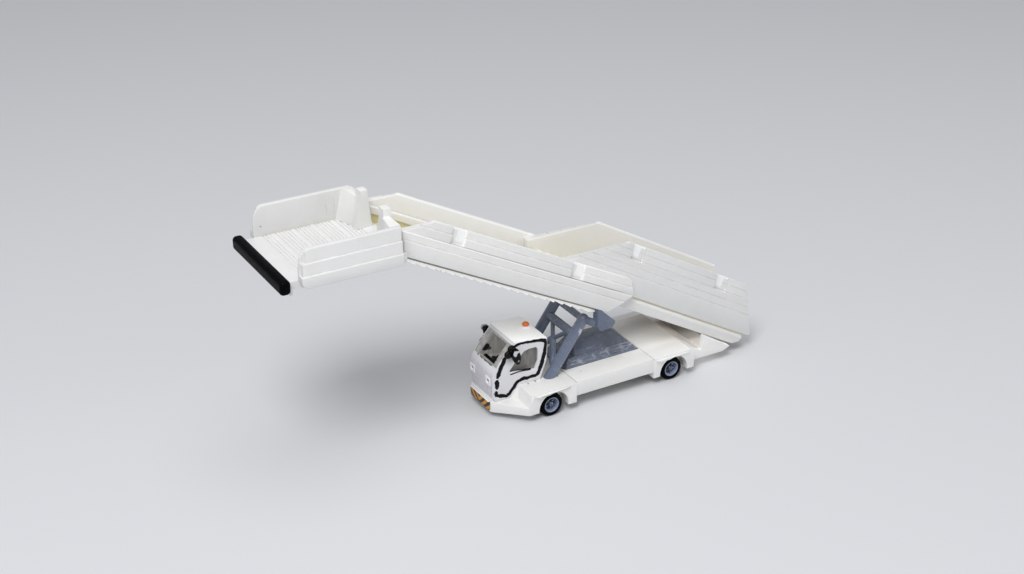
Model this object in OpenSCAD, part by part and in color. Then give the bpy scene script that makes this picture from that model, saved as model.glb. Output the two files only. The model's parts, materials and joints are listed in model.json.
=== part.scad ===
// Mobile aircraft stairs, a small collector's model.
// X points forward to the cab and the platform, Y to the vehicle's left, Z up.
// Every piece is drawn from the point on the ground under the front axle.
// place() then puts the origin at the middle of the model's length.

/* [Wheels] */
// outside diameter of each tyre
tyre_d = 3; // [2.6:0.05:3.3]
// width of each tyre
tyre_w = 1.1; // [0.8:0.05:1.3]
// diameter of the rim inside the tyre
rim_d = 2; // [1.6:0.05:2.3]
// diameter of the axles
axle_d = 0.5; // [0.4:0.02:0.6]
// free space around each axle in its bearing lugs
axle_gap = 0.05; // [0.02:0.01:0.1]
// gap between the tyre's outer face and the fender's outer face
tyre_inset = 0.2; // [0.1:0.05:0.4]
// free space between the tyre and the wheel arch
arch_gap = 0.55; // [0.35:0.05:0.65]

/* [Chassis] */
// distance between the axles
wheelbase = 17.44; // [15.5:0.02:19.5]
// width over the fenders
fender_w = 12; // [11:0.1:13.4]
// height of the deck above the ground
deck_z = 3.7; // [3.6:0.02:4.2]
// height of the skirt's lower edge above the ground
skirt_z = 1.8; // [1.6:0.05:2]
// height of the fenders' lower edge above the ground
fender_z = 1.05; // [0.8:0.05:1.2]
// how far the skirt stands back from the fenders
skirt_in = 0.2; // [0.1:0.05:0.4]
// depth of the wheel wells, from the fender's outer face
well_depth = 1.6; // [1.5:0.05:1.9]
// distance from the front axle to the nose
nose_x = 6.55; // [6.4:0.05:7.2]
// height of the front step
step_z = 2.2; // [2.1:0.02:2.35]
// width of the striped plate on the nose
plate_w = 4.5; // [3.6:0.1:5]

/* [Cab] */
// height of the roof's front edge above the deck
cab_h = 5.95; // [5.4:0.05:6.6]
// half of the cab's width at its rear wall
cab_half_rear = 3.07; // [2.9:0.02:3.2]
// half of the cab's width at its front pillars
cab_half_front = 2.75; // [2.6:0.02:2.9]
// thickness of the cab's walls
cab_wall = 0.32; // [0.25:0.01:0.4]
// width of the black seal around each door
seal_w = 0.36; // [0.26:0.02:0.4]

/* [Hood] */
// length of the hood on the deck
hood_len = 10.95; // [9.8:0.05:12]
// half of the hood's width on the deck
hood_half = 2.65; // [2.4:0.05:2.9]
// height of the hood's louvred band
hood_band_h = 1.15; // [1:0.05:1.3]
// height of the hood's top above the deck
hood_h = 2.65; // [2.3:0.05:3]

/* [Lift frame] */
// diameter of the two slanting tubes
tube_d = 1.3; // [1.1:0.05:1.5]
// distance of each tube's axis from the centre plane
tube_y = 3; // [2.9:0.02:3.1]
// diameter of the lower cross tube
cross_d = 1.1; // [0.9:0.05:1.2]
// diameter of the upper cross tube
head_d = 0.85; // [0.7:0.05:1]

/* [Lower flight] */
// slope of the lower flight in degrees
low_slope = 29.5; // [29:0.1:30]
// outer half-width of the lower flight
low_half = 4.15; // [4:0.05:4.3]
// height of the lower side panels, measured straight up
low_panel_h = 6.95; // [6.3:0.05:7.6]
// height of the rails under the lower panels
rail_h = 1.9; // [1.6:0.05:2.2]
// how far each plank of a lower panel stands out past the one above it
low_lap = 0.13; // [0.1:0.01:0.15]

/* [Upper flight] */
// slope of the upper flight in degrees
up_slope = 27.4; // [27:0.1:27.8]
// height of the upper side panels, measured straight up
up_panel_h = 5.1; // [4.6:0.05:5.6]
// thickness of the backing sheet of every side panel
sheet_t = 0.45; // [0.35:0.01:0.5]
// how far each plank of an upper panel stands out past the one above it
up_lap = 0.2; // [0.16:0.01:0.22]
// depth of one tread, measured level
going = 1.2; // [1.1:0.05:1.3]
// length of the upper flight, measured level
up_run = 25.2; // [24:0.1:26.4]

/* [Platform] */
// height of the platform's floor above the ground
floor_z = 26.25; // [25:0.05:27.5]
// inside half-width of the platform
floor_half = 6.1; // [5.7:0.05:6.5]
// length of the platform's floor
floor_len = 14.2; // [12.8:0.02:15.6]
// height of the platform's side walls above the floor
wall_h = 3.6; // [3.2:0.05:4]
// radius of the round front of the bumper on the platform's front edge
bumper_r = 0.62; // [0.55:0.01:0.7]

/* [Hidden] */
$fn = 48;
// reach of a cut that goes right through
through = 60;
// thickness of a slice that only guides a hull
slice = 0.01;
// depth by which joined shapes of one piece run into each other
sink = 0.02;

tyre_r = tyre_d / 2;
fender_half = fender_w / 2;
skirt_half = fender_half - skirt_in;
rear_axle_x = -wheelbase;
axles = [0, rear_axle_x];

// chassis blocks round the two axles, and the tail behind them
front_block_back = 3.35;
rear_block_ahead = 2.84;
rear_block_back = 3.21;
rear_chamfer = [0.5, 0.35];
front_block_x = -front_block_back;
block_front_x = rear_axle_x + rear_block_ahead;
block_rear_x = rear_axle_x - rear_block_back;
seam_w = 0.1;
seam_depth = 0.08;

// wheel wells, whose arch sits a little behind and below the wheel's centre
well_in = fender_half - well_depth;
arch_r = tyre_r + arch_gap;
arch_z = tyre_r - 0.2;
arch_back = 0.15;
leg_x = arch_r - arch_back;

// slopes of the flights, and where each flight's panels have their lower edge
low_tan = tan(low_slope);
up_tan = tan(up_slope);
up_rise = going * up_tan;
up_steps_n = floor(up_run / going);
up_front_x = 18.4;
up_rear_x = up_front_x - 30.2;
up_x0 = up_front_x - up_steps_n * going;
up_z0 = floor_z - up_steps_n * up_rise;
up_front_drop = 0.81;
up_level = 3.93;
function up_bot(x) = floor_z - up_front_drop + (x - up_front_x) * up_tan;
function up_top(x) = up_bot(x) + up_panel_h;

// the lower flight's rails pass over the rear end of the upper flight's steps
flight_gap = 0.23;
low_front_x = up_x0 + 5;
low_level = 10.32;
low_mate_z = up_z0 + rail_h + flight_gap;
foot_z = 1.45;
foot_h = 0.65;
low_rear_x = up_x0 + (foot_z + foot_h - low_mate_z) / low_tan;
rear_lean = 0.65;
function low_bot(x) = low_mate_z + (x - up_x0) * low_tan;
function low_top(x) = low_bot(x) + low_panel_h;

// platform floor and bumper, and the model's two ends
floor_x0 = up_front_x;
floor_x1 = floor_x0 + floor_len;
bumper_x = floor_x1 + bumper_r;
front_end = bumper_x + bumper_r;
rear_end = low_rear_x - rear_lean;
middle_x = (front_end + rear_end) / 2;

function unit(v) = v / norm(v);
function left_of(v) = [-v[1], v[0]];
function at(p, i) = p[(i + len(p)) % len(p)];
// moves every edge of a counter-clockwise outline inwards by t
function inset(p, t) = [
    for (i = [0 : len(p) - 1])
        let (n1 = left_of(unit(at(p, i) - at(p, i - 1))), n2 = left_of(unit(at(p, i + 1) - at(p, i))))
            p[i] + (n1 + n2) * t / (1 + n1 * n2)
];
function sum_to(v, i) = i < 0 ? 0 : v[i] + sum_to(v, i - 1);
function mix(a, b, t) = a + (b - a) * t;

module place()
    translate([-middle_x, 0, 0])
        children();

// a flat outline in X and Z, given thickness from y0 to y1
module side_plate(y0, y1)
    translate([0, y1, 0])
        rotate([90, 0, 0])
            linear_extrude(height = y1 - y0)
                children();

// a flat outline in Y and Z, given length from x0 to x1
module front_plate(x0, x1)
    translate([x0, 0, 0])
        rotate([90, 0, 90])
            linear_extrude(height = x1 - x0)
                children();

// a flat outline in X and Y, given height from z0 to z1
module level_plate(z0, z1)
    translate([0, 0, z0])
        linear_extrude(height = z1 - z0)
            children();

module both_sides() {
    children();
    mirror([0, 1, 0])
        children();
}

// s is 1 on the vehicle's left and -1 on its right
module side_of(s) {
    if (s > 0)
        children();
    else
        mirror([0, 1, 0])
            children();
}

// a round bar from point p to point q
module bar(p, q, d) {
    v = q - p;
    translate(p)
        rotate([0, acos(v[2] / norm(v)), atan2(v[1], v[0])])
            cylinder(d = d, h = norm(v));
}

module box(low, high)
    translate(low)
        cube(high - low);

// a round shape about an axle, its own axis along Y from y0 outwards
module about_axle(x, y0)
    translate([x, y0, tyre_r])
        rotate([-90, 0, 0])
            children();

// Wheels: tyre, hub and through axle
tyre_out = fender_half - tyre_inset;
tyre_in = tyre_out - tyre_w;
shoulder = 0.22;
shoulder_mid = shoulder * 0.3;
tread_groove = 0.05;
tyre_section = [
    [rim_d / 2, 0], [tyre_r - shoulder, 0], [tyre_r - shoulder_mid, shoulder_mid], [tyre_r, shoulder],
    [tyre_r, tyre_w / 2 - tread_groove], [tyre_r - tread_groove, tyre_w / 2],
    [tyre_r, tyre_w / 2 + tread_groove], [tyre_r, tyre_w - shoulder],
    [tyre_r - shoulder_mid, tyre_w - shoulder_mid], [tyre_r - shoulder, tyre_w], [rim_d / 2, tyre_w]
];
module tyre(x, s)
    place()
        color([0.05, 0.05, 0.06])
            side_of(s)
                about_axle(x, tyre_in)
                    rotate_extrude($fn = 96)
                        polygon(tyre_section);

hub_w = tyre_w - 0.05;
rim_lip = 0.16;
boss_d = 0.66;
boss_h = 0.37;
spokes = 5;
spoke_w = 0.26;
spoke_h = 0.22;
dish = 0.4;
axle_seat = 0.45;
module hub(x, s)
    place()
        color([0.42, 0.48, 0.62])
            side_of(s)
                about_axle(x, tyre_in) {
                    difference() {
                        cylinder(d = rim_d, h = hub_w);
                        translate([0, 0, hub_w - dish])
                            cylinder(d = rim_d - 2 * rim_lip, h = dish + sink);
                        translate([0, 0, -sink])
                            cylinder(d = axle_d, h = axle_seat + sink);
                    }
                    translate([0, 0, hub_w - dish - sink]) {
                        cylinder(d = boss_d, h = boss_h);
                        for (i = [0 : spokes - 1])
                            rotate([0, 0, i * 360 / spokes])
                                translate([0, -spoke_w / 2, 0])
                                    cube([rim_d / 2 - rim_lip + sink, spoke_w, spoke_h]);
                    }
                }

module axle(x)
    place()
        color([0.5, 0.5, 0.52])
            about_axle(x, -tyre_in - axle_seat)
                cylinder(d = axle_d, h = 2 * (tyre_in + axle_seat));

// Cab outline, seen from the side, its lower points held to the step and the deck
cab_top = deck_z + cab_h;
roof_drop = 0.38;
cab_out = [
    [4.15, step_z], [6.15, step_z], [6.42, step_z + 0.65], [6.46, deck_z + 1.5], [6.3, deck_z + 2.4],
    [5.3, deck_z + 3.8], [3.42, cab_top], [-0.8, cab_top - roof_drop], [-1.08, cab_top - 0.65],
    [-1.12, deck_z + 3.5], [0.05, deck_z], [3.02, deck_z]
];
cab_in = inset(cab_out, cab_wall);
// half-widths of the cab along its length, as x and y
cab_half = [
    [-2, cab_half_rear - 0.37], [-1.15, cab_half_rear - 0.37], [-0.8, cab_half_rear],
    [3.4, cab_half_front + 0.07], [6.2, cab_half_front], [6.5, cab_half_front - 0.2]
];
module cab_plan(t)
    polygon(concat(
        [for (p = cab_half) [p[0], -p[1] + t]],
        [for (i = [len(cab_half) - 1 : -1 : 0]) [cab_half[i][0], cab_half[i][1] - t]]
    ));
module cab_block(outline, t)
    intersection() {
        side_plate(-through, through)
            polygon(outline);
        level_plate(0, through)
            cab_plan(t);
    }
module cab_walls()
    difference() {
        cab_block(cab_out, 0);
        cab_block(cab_in, cab_wall);
    }

// Chassis: skirt, blocks round the wheels, the nose with its step, and the fender corners
skirt_front_x = 3.02;
corner_x = 3.25;
corner_top_x = 2.65;
corner_in = [3.42, 3.47];
corner_in_top = [3.1, 3.05];
fairing_x = 4.25;
fairing_y = 3;
nose_half = plate_w / 2 + 0.2;
nose_z = fender_z - 0.25;
nose_crease = 2.28;
step_fall = 0.22;
lip_h = 0.33;
lip_t = 0.3;
lip_side = 0.1;
cab_core = 2.5;
module nose_section(x, half, z0, crease)
    front_plate(x - slice, x)
        polygon([
            [-half, z0], [half, z0], [half, step_z - step_fall], [crease, step_z],
            [-crease, step_z], [-half, step_z - step_fall]
        ]);
module nose()
    hull() {
        nose_section(leg_x + slice, fender_half, fender_z, corner_in[1]);
        nose_section(corner_x, fender_half, fender_z, corner_in[1]);
        nose_section(nose_x, nose_half, nose_z, nose_crease);
    }
// a block between an outline at z0 and another at z1
module taper_block(low_plan, z0, high_plan, z1)
    hull() {
        level_plate(z0, z0 + slice)
            polygon(low_plan);
        level_plate(z1 - slice, z1)
            polygon(high_plan);
    }
module fender_corner() {
    z0 = step_z - step_fall;
    taper_block(
        [[leg_x, cab_core], corner_in, [corner_x, fender_half], [leg_x, fender_half]], z0,
        [[leg_x, cab_core], corner_in_top, [corner_top_x, fender_half], [leg_x, fender_half]], deck_z
    );
    taper_block(
        [[leg_x, cab_core], [fairing_x, cab_core], [fairing_x, fairing_y], corner_in], z0,
        [[leg_x, cab_core], [skirt_front_x, cab_core], corner_in_top, [leg_x, corner_in_top[1]]], deck_z
    );
}
brow_z = deck_z - 0.35;
brow_t = 0.24;
// a brow's outline from its front tip to its rear tip, as distance ahead of the axle and width
brow_edge = [[2.55, 0], [2.05, 0.28], [-2, 0.08], [-2.65, 0]];
module brow(x)
    both_sides()
        level_plate(brow_z - brow_t / 2, brow_z + brow_t / 2)
            polygon(concat(
                [for (p = brow_edge) [x + p[0], fender_half + p[1]]],
                [[x + brow_edge[3][0], fender_half - sink], [x + brow_edge[0][0], fender_half - sink]]
            ));
module wheel_well(x)
    both_sides()
        translate([x - arch_back, well_in, 0]) {
            translate([0, 0, arch_z])
                rotate([-90, 0, 0])
                    cylinder(r = arch_r, h = through);
            translate([-arch_r, 0, -sink])
                cube([2 * arch_r, through, arch_z + sink]);
        }
lug_w = 0.9;
lug_t = 0.9;
lug_h = 0.55;
lug_gap = 0.02;
lug_y = well_in - 0.25;
lug_top = tyre_r + lug_h;
hole_d = 0.3;
hole_depth = 0.25;
// small open holes in the deck, as x and y
deck_holes = [[0.75, 3.05], [1.8, 3.15], [-2.15, 3.35]];
module chassis_body()
    place()
        color([0.9, 0.9, 0.88])
            difference() {
                union() {
                    box([block_rear_x, -skirt_half, skirt_z], [skirt_front_x, skirt_half, deck_z]);
                    box([block_rear_x, -fender_half, skirt_z], [block_front_x, fender_half, deck_z]);
                    box([front_block_x, -fender_half, skirt_z], [leg_x + sink, fender_half, deck_z]);
                    nose();
                    front_plate(nose_x - lip_t, nose_x)
                        polygon([
                            [-nose_half, step_z - step_fall], [nose_half, step_z - step_fall],
                            [nose_half - lip_side, step_z + lip_h], [-nose_half + lip_side, step_z + lip_h]
                        ]);
                    both_sides() {
                        box([front_block_x, well_in, fender_z], [leg_x + sink, fender_half, deck_z]);
                        box([block_rear_x, well_in, fender_z], [block_front_x, fender_half, deck_z]);
                        fender_corner();
                    }
                    for (x = axles)
                        brow(x);
                }
                cab_block(cab_out, 0);
                for (x = axles) {
                    wheel_well(x);
                    box(
                        [x - lug_w / 2 - lug_gap, -well_in - sink, 0],
                        [x + lug_w / 2 + lug_gap, well_in + sink, lug_top + lug_gap]
                    );
                }
                side_plate(-through, through)
                    polygon([
                        [block_rear_x - 1, deck_z + 1], [block_rear_x - 1, deck_z - rear_chamfer[1]],
                        [block_rear_x, deck_z - rear_chamfer[1]], [block_rear_x + rear_chamfer[0], deck_z],
                        [block_rear_x + rear_chamfer[0], deck_z + 1]
                    ]);
                for (x = [front_block_x, block_front_x])
                    box([x - seam_w, -through, deck_z - seam_depth], [x, through, through]);
                both_sides()
                    for (p = deck_holes)
                        translate([p[0], p[1], deck_z - hole_depth])
                            cylinder(d = hole_d, h = through);
            }

// Base plate under the deck, with the lugs that carry the axles
base_z = tyre_r - 0.5;
base_half = well_in - 0.3;
base_front_x = 1.9;
base_rear_x = block_rear_x + 0.6;
module base_plate()
    place()
        color([0.78, 0.77, 0.72])
            difference() {
                union() {
                    box([base_rear_x, -base_half, base_z], [base_front_x, base_half, skirt_z]);
                    for (x = axles)
                        both_sides()
                            box([x - lug_w / 2, lug_y - lug_t, base_z], [x + lug_w / 2, lug_y, lug_top]);
                }
                for (x = axles)
                    about_axle(x, -through / 2)
                        cylinder(d = axle_d + 2 * axle_gap, h = through);
            }

plate_t = 0.25;
module chevron_plate()
    place()
        color([0.8, 0.45, 0.05])
            box([nose_x, -plate_w / 2, fender_z], [nose_x + plate_t, plate_w / 2, step_z]);

// Tail: a ramp behind the deck, a floor under the lower flight's foot and a fin on each side
fin_half = 5;
cradle_z = 1.3;
fin_tip_x = low_rear_x + 3.15;
fin_floor_x = fin_tip_x + 1.15;
ramp_x = block_rear_x - 2.2;
ramp_z = cradle_z + 0.9;
ramp_top = deck_z - rear_chamfer[1] - 0.05;
ramp_outline = [[block_rear_x, cradle_z], [block_rear_x, ramp_top], [ramp_x, ramp_z], [ramp_x - 0.6, cradle_z]];
fin_outline = [
    [ramp_x + 0.7, cradle_z], [ramp_x + 0.35, ramp_z], [ramp_x - 0.05, deck_z + 0.6],
    [fin_tip_x, cradle_z + 0.45], [fin_floor_x, cradle_z]
];
module tail_cradle()
    place()
        color([0.9, 0.9, 0.88]) {
            box([fin_floor_x, -low_half - sink, cradle_z], [block_rear_x, low_half + sink, foot_z]);
            side_plate(-fin_half, fin_half)
                polygon(ramp_outline);
            both_sides()
                side_plate(low_half, fin_half)
                    polygon(fin_outline);
        }

// Doors, as outlines seen from the side; the outer edge of the seal comes first
door_out = [
    [4.3, step_z + 0.24], [5.52, step_z + 0.4], [6.06, step_z + 0.66], [6.2, step_z + 1.15],
    [6.12, deck_z + 1.3], [5.92, deck_z + 2], [5.18, deck_z + 3.25], [4.15, cab_top - 1.1], [3.6, cab_top - 0.35],
    [0, cab_top - 0.48], [-0.62, cab_top - 0.6], [-0.79, cab_top - 1.05], [-0.7, deck_z + 3.05],
    [0.12, deck_z + 0.45], [2.48, deck_z + 0.45], [2.95, deck_z + 0.25], [3.85, step_z + 0.5]
];
door_in = inset(door_out, seal_w);
window = [
    [4.2, deck_z + 2.17], [3.5, deck_z + 3.05], [2.87, deck_z + 3.68], [2.2, cab_top - 1.55],
    [1.5, cab_top - 1.37], [0.6, cab_top - 1.37], [0.36, cab_top - 1.75], [0.34, deck_z + 2.7],
    [0.75, deck_z + 1.62], [1.5, deck_z + 1.72]
];
windscreen = [
    [-1.87, deck_z + 2.92], [1.87, deck_z + 2.92], [1.74, cab_top - 0.58], [-1.74, cab_top - 0.58]
];
side_cut = 2.4;
front_cut = 2.6;
module cab_shell()
    place()
        color([0.9, 0.9, 0.9])
            difference() {
                cab_walls();
                both_sides()
                    side_plate(side_cut, through)
                        polygon(door_out);
                front_plate(front_cut, through)
                    polygon(windscreen);
            }
module door(s)
    place()
        color([0.9, 0.9, 0.9])
            side_of(s)
                intersection() {
                    cab_walls();
                    side_plate(side_cut, through)
                        difference() {
                            polygon(door_in);
                            polygon(window);
                        }
                }
module door_seal(s)
    place()
        color([0.03, 0.03, 0.03])
            side_of(s)
                intersection() {
                    cab_walls();
                    side_plate(side_cut, through)
                        difference() {
                            polygon(door_out);
                            polygon(door_in);
                        }
                }

// Front panel and headlights, on the cab's front face
panel_half = 2.42;
panel_t = 0.08;
panel_edge = [cab_out[2], cab_out[3], mix(cab_out[3], cab_out[4], 0.7)];
function face_x(z) = mix(cab_out[2][0], cab_out[3][0], (z - cab_out[2][1]) / (cab_out[3][1] - cab_out[2][1]));
module front_panel()
    place()
        color([0.8, 0.8, 0.88])
            side_plate(-panel_half, panel_half)
                polygon(concat([for (p = panel_edge) p + [panel_t, 0]], [for (i = [2 : -1 : 0]) panel_edge[i]]));
light_w = 0.92;
light_h = 0.88;
light_t = 0.14;
light_y = 1.88;
light_z = deck_z + 1.15;
lens_d = 0.5;
lens_depth = 0.1;
module headlight(s)
    place()
        color([0.85, 0.86, 0.9])
            side_of(s)
                difference() {
                    translate([face_x(light_z) + panel_t, light_y, light_z])
                        difference() {
                            box([-light_t, -light_w / 2, -light_h / 2], [light_t, light_w / 2, light_h / 2]);
                            translate([light_t - lens_depth, 0, 0])
                                rotate([0, 90, 0])
                                    cylinder(d = lens_d, h = through);
                        }
                    translate([panel_t, 0, 0])
                        side_plate(-through, through)
                            polygon(cab_out);
                }

// Inside the cab: dashboard, steering wheel and seat
cab_floor_z = deck_z + cab_wall;
dash_half = 1.95;
module dashboard()
    place()
        color([0.05, 0.05, 0.05])
            side_plate(-dash_half, dash_half)
                polygon([
                    [4.5, deck_z + 1.8], [5.4, deck_z + 1.4], cab_in[4] - [0.02, 0.35],
                    cab_in[4] - [0.3, 0.02], [4.7, deck_z + 2.6]
                ]);
wheel_at = [4.55, 1.25, deck_z + 2.95];
wheel_tilt = 35;
wheel_r = 0.62;
wheel_rim = 0.22;
column_d = 0.2;
column_len = 0.5;
module steering_wheel()
    place()
        color([0.05, 0.05, 0.05])
            translate(wheel_at)
                rotate([0, -wheel_tilt, 0]) {
                    rotate_extrude()
                        translate([wheel_r, 0])
                            circle(d = wheel_rim, $fn = 16);
                    translate([-column_d / 2, -wheel_r, -column_d / 4])
                        cube([column_d, 2 * wheel_r, column_d / 2]);
                    translate([0, 0, -column_len])
                        cylinder(d = column_d, h = column_len);
                }
seat_half = 0.9;
module seat()
    place()
        color([0.12, 0.12, 0.13])
            side_plate(-seat_half, seat_half)
                polygon([
                    [0.9, cab_floor_z], [2.3, cab_floor_z], [2.4, deck_z + 1.5], [1.1, deck_z + 1.5],
                    [0.5, deck_z + 3.7], [-0.05, deck_z + 3.6], [0.4, deck_z + 1.3]
                ]);

// Mirrors: a rounded head on two short arms
mirror_x = [3.5, 4.1];
mirror_y = [3, 4.05];
mirror_z = [cab_top - 2.4, cab_top - 0.5];
mirror_round = 0.3;
mirror_rim = 0.12;
glass_t = 0.08;
arm_d = 0.26;
// arms, as the place on the cab and the height on the mirror's head
mirror_arms = [[4, cab_top - 0.75], [4.75, cab_top - 1.4]];
module mirror_plan(rim) {
    inset_y = mirror_round + rim;
    hull()
        for (y = [mirror_y[0] + inset_y, mirror_y[1] - inset_y])
            for (z = [mirror_z[0] + inset_y, mirror_z[1] - inset_y])
                translate([y, z])
                    circle(r = mirror_round, $fn = 24);
}
module mirror_arm(s)
    place()
        color([0.03, 0.03, 0.03])
            side_of(s)
                difference() {
                    union() {
                        front_plate(mirror_x[0], mirror_x[1])
                            mirror_plan(0);
                        for (a = mirror_arms)
                            bar([a[0], cab_half_front - 0.2, a[1]], [mirror_x[1] - 0.2, mirror_y[0] + 0.3, a[1]], arm_d);
                    }
                    cab_block(cab_out, 0);
                    front_plate(mirror_x[0] - sink, mirror_x[0] + glass_t)
                        mirror_plan(mirror_rim);
                }
module mirror_glass(s)
    place()
        color([0.75, 0.76, 0.78])
            side_of(s)
                front_plate(mirror_x[0], mirror_x[0] + glass_t)
                    mirror_plan(mirror_rim);

// Beacon on the roof
beacon_x = 0.17;
beacon_d = 0.86;
beacon_h = 0.2;
beacon_foot_d = 1.25;
beacon_neck_d = 1;
beacon_foot_h = 0.24;
function roof_z(x) = mix(cab_out[7][1], cab_out[6][1], (x - cab_out[7][0]) / (cab_out[6][0] - cab_out[7][0]));
beacon_z = roof_z(beacon_x);
module beacon_base()
    place()
        color([0.88, 0.88, 0.86])
            difference() {
                translate([beacon_x, 0, beacon_z - beacon_foot_h])
                    cylinder(d1 = beacon_foot_d + 0.25, d2 = beacon_neck_d, h = 2 * beacon_foot_h);
                side_plate(-through, through)
                    polygon(cab_out);
            }
module beacon()
    place()
        color([0.95, 0.35, 0.02])
            translate([beacon_x, 0, beacon_z + beacon_foot_h]) {
                cylinder(d = beacon_d, h = beacon_h);
                translate([0, 0, beacon_h])
                    intersection() {
                        sphere(d = beacon_d);
                        cylinder(d = 2 * beacon_d, h = beacon_d);
                    }
            }

// Hood on the deck: a louvred band all round, and a hipped top behind the lift frame
hood_x0 = front_block_x - 0.2;
hood_x1 = hood_x0 - hood_len;
band_z = deck_z + hood_band_h;
hood_top = deck_z + hood_h;
band_half = hood_half - 0.6;
band_set = [0.95, 1];
hip_set = [1.95, 1.6];
hip_half = 1.95;
ridge_set = [2.4, 2.95];
ridge_half = 0.95;
hood_corner = 0.3;
louvres = 5;
louvre_first = 0.95;
louvre_pitch = 2.05;
louvre_len = 1.3;
slats = 3;
slat_pitch = 0.3;
slat_h = 0.14;
slat_out = 0.07;
function hood_side(z) = mix(hood_half, band_half, (z - deck_z) / hood_band_h);
module hood_slab(front, rear, half, z)
    box([hood_x1 + rear, -half, z - slice], [hood_x0 - front, half, z]);
module hood()
    place()
        color([0.42, 0.45, 0.56]) {
            hull() {
                level_plate(deck_z, deck_z + slice)
                    polygon([
                        [hood_x1, -hood_half], [hood_x0 - hood_corner, -hood_half],
                        [hood_x0, -hood_half + 2 * hood_corner], [hood_x0, hood_half - 2 * hood_corner],
                        [hood_x0 - hood_corner, hood_half], [hood_x1, hood_half]
                    ]);
                hood_slab(band_set[0], band_set[1], band_half, band_z);
            }
            hull() {
                hood_slab(hip_set[0], hip_set[1], hip_half, band_z);
                hood_slab(ridge_set[0], ridge_set[1], ridge_half, hood_top);
            }
            both_sides()
                for (i = [0 : louvres - 1], j = [0 : slats - 1]) {
                    x = hood_x0 - louvre_first - i * louvre_pitch;
                    z = deck_z + slat_pitch * (j + 0.6);
                    y = hood_side(z + slat_h);
                    box([x - louvre_len, y - 0.3, z], [x, y + slat_out, z + slat_h]);
                }
        }

// Lift frame: two slanting tubes, two cross tubes, an X brace and the shoes under the upper flight
tube_foot_x = -1.3;
head_x = up_x0 + 0.85;
head_z = up_bot(up_x0) - 2.05;
head_ball = tube_d + 0.12;
function on_tube(z, y) = [mix(tube_foot_x, head_x, (z - deck_z) / (head_z - deck_z)), y, z];
module tube_solid()
    intersection() {
        union() {
            bar(on_tube(deck_z - 1, tube_y), on_tube(head_z, tube_y), tube_d);
            translate(on_tube(head_z, tube_y))
                sphere(d = head_ball);
        }
        level_plate(deck_z, through)
            square(2 * through, center = true);
    }
module lift_tube(s)
    place()
        color([0.45, 0.49, 0.6])
            side_of(s)
                tube_solid();
low_cross_z = head_z - 1.75;
module cross_bar(z, d)
    difference() {
        bar(on_tube(z, -tube_y), on_tube(z, tube_y), d);
        both_sides()
            tube_solid();
    }
module lift_cross_upper()
    place()
        color([0.45, 0.49, 0.6])
            cross_bar(head_z, head_d);
module lift_cross_lower()
    place()
        color([0.45, 0.49, 0.6])
            cross_bar(low_cross_z, cross_d);
leg_d = 0.8;
strut_d = 0.55;
brace_z = head_z - 3.4;
brace_foot_z = deck_z + 0.6;
strut_y = 1.95;
module lift_brace()
    place()
        color([0.45, 0.49, 0.6])
            difference() {
                for (s = [-1, 1]) {
                    bar(on_tube(brace_foot_z, s * tube_y), on_tube(brace_z, 0), leg_d);
                    bar(on_tube(brace_z, 0), on_tube(low_cross_z, s * strut_y), strut_d);
                }
                both_sides()
                    tube_solid();
                bar(on_tube(low_cross_z, -tube_y), on_tube(low_cross_z, tube_y), cross_d);
            }
shoe_gap = 0.05;
shoe_w = 1.1;
shoe_x = up_x0 + 0.2;
shoe_seat = 0.45;
shoe_len = 2.45;
stub_d = 0.95;
stub_end = [shoe_x - 0.3, low_half + 0.45, head_z - 0.17];
shoe_outline = [
    [shoe_x, up_bot(shoe_x)], [shoe_x - shoe_seat, up_bot(shoe_x - shoe_seat)], [shoe_x - shoe_len, head_z],
    [shoe_x - shoe_len, head_z - 0.4], [shoe_x - shoe_len + 0.35, head_z - 0.8], [shoe_x - 0.5, head_z - 0.95],
    [shoe_x, head_z - 0.4]
];
module shoe(s)
    place()
        color([0.45, 0.49, 0.6])
            side_of(s)
                difference() {
                    union() {
                        side_plate(low_half + shoe_gap, low_half + shoe_gap + shoe_w)
                            polygon(shoe_outline);
                        bar(on_tube(head_z, tube_y), stub_end, stub_d);
                    }
                    tube_solid();
                }

// Side panels: a backing sheet that carries lapped planks, with notches for the handrail's sockets
notch_w = 1.7;
notch_h = 1.75;
notch_lean = 0.36;
// the outline below a sloping line that passes the height z at x = 0, between two depths under it
module band(z, slope, drop0, drop1)
    polygon([
        [-through, z - through * slope - drop1], [through, z + through * slope - drop1],
        [through, z + through * slope - drop0], [-through, z - through * slope - drop0]
    ]);
module notch(x, z, slope)
    polygon([
        [x, z + 1], [x, z], [x + notch_lean * notch_h, z - notch_h],
        [x + notch_lean * notch_h - notch_w, z - notch_h - notch_w * slope],
        [x - notch_w, z - notch_w * slope], [x - notch_w, z + 1]
    ]);
// planks gives their heights from the top down, and the last plank takes the rest
module lap_panel(outline, z, slope, planks, lap, y, notches) {
    side_plate(y, y + sheet_t)
        polygon(outline);
    for (i = [0 : len(planks)]) {
        drop0 = i == 0 ? -1 : sum_to(planks, i - 1);
        drop1 = i == len(planks) ? through : sum_to(planks, i);
        side_plate(y + sheet_t - sink, y + sheet_t + lap * (i + 1))
            difference() {
                intersection() {
                    polygon(outline);
                    band(z, slope, drop0, drop1);
                }
                for (x = notches)
                    notch(x, z + x * slope, slope);
            }
    }
}
// the tops of n treads that start at x and z, and the underside at depth t below them
function stair_top(x, z, n, rise) = [for (k = [0 : n - 1], j = [0, 1]) [x + (k + j) * going, z + k * rise]];
function stair_under(x, z, n, rise, t) = [
    for (k = [n - 1 : -1 : 0], j = [1, 0]) [x + (k + j) * going, z + k * rise - t + j * rise * 0.6]
];

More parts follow.
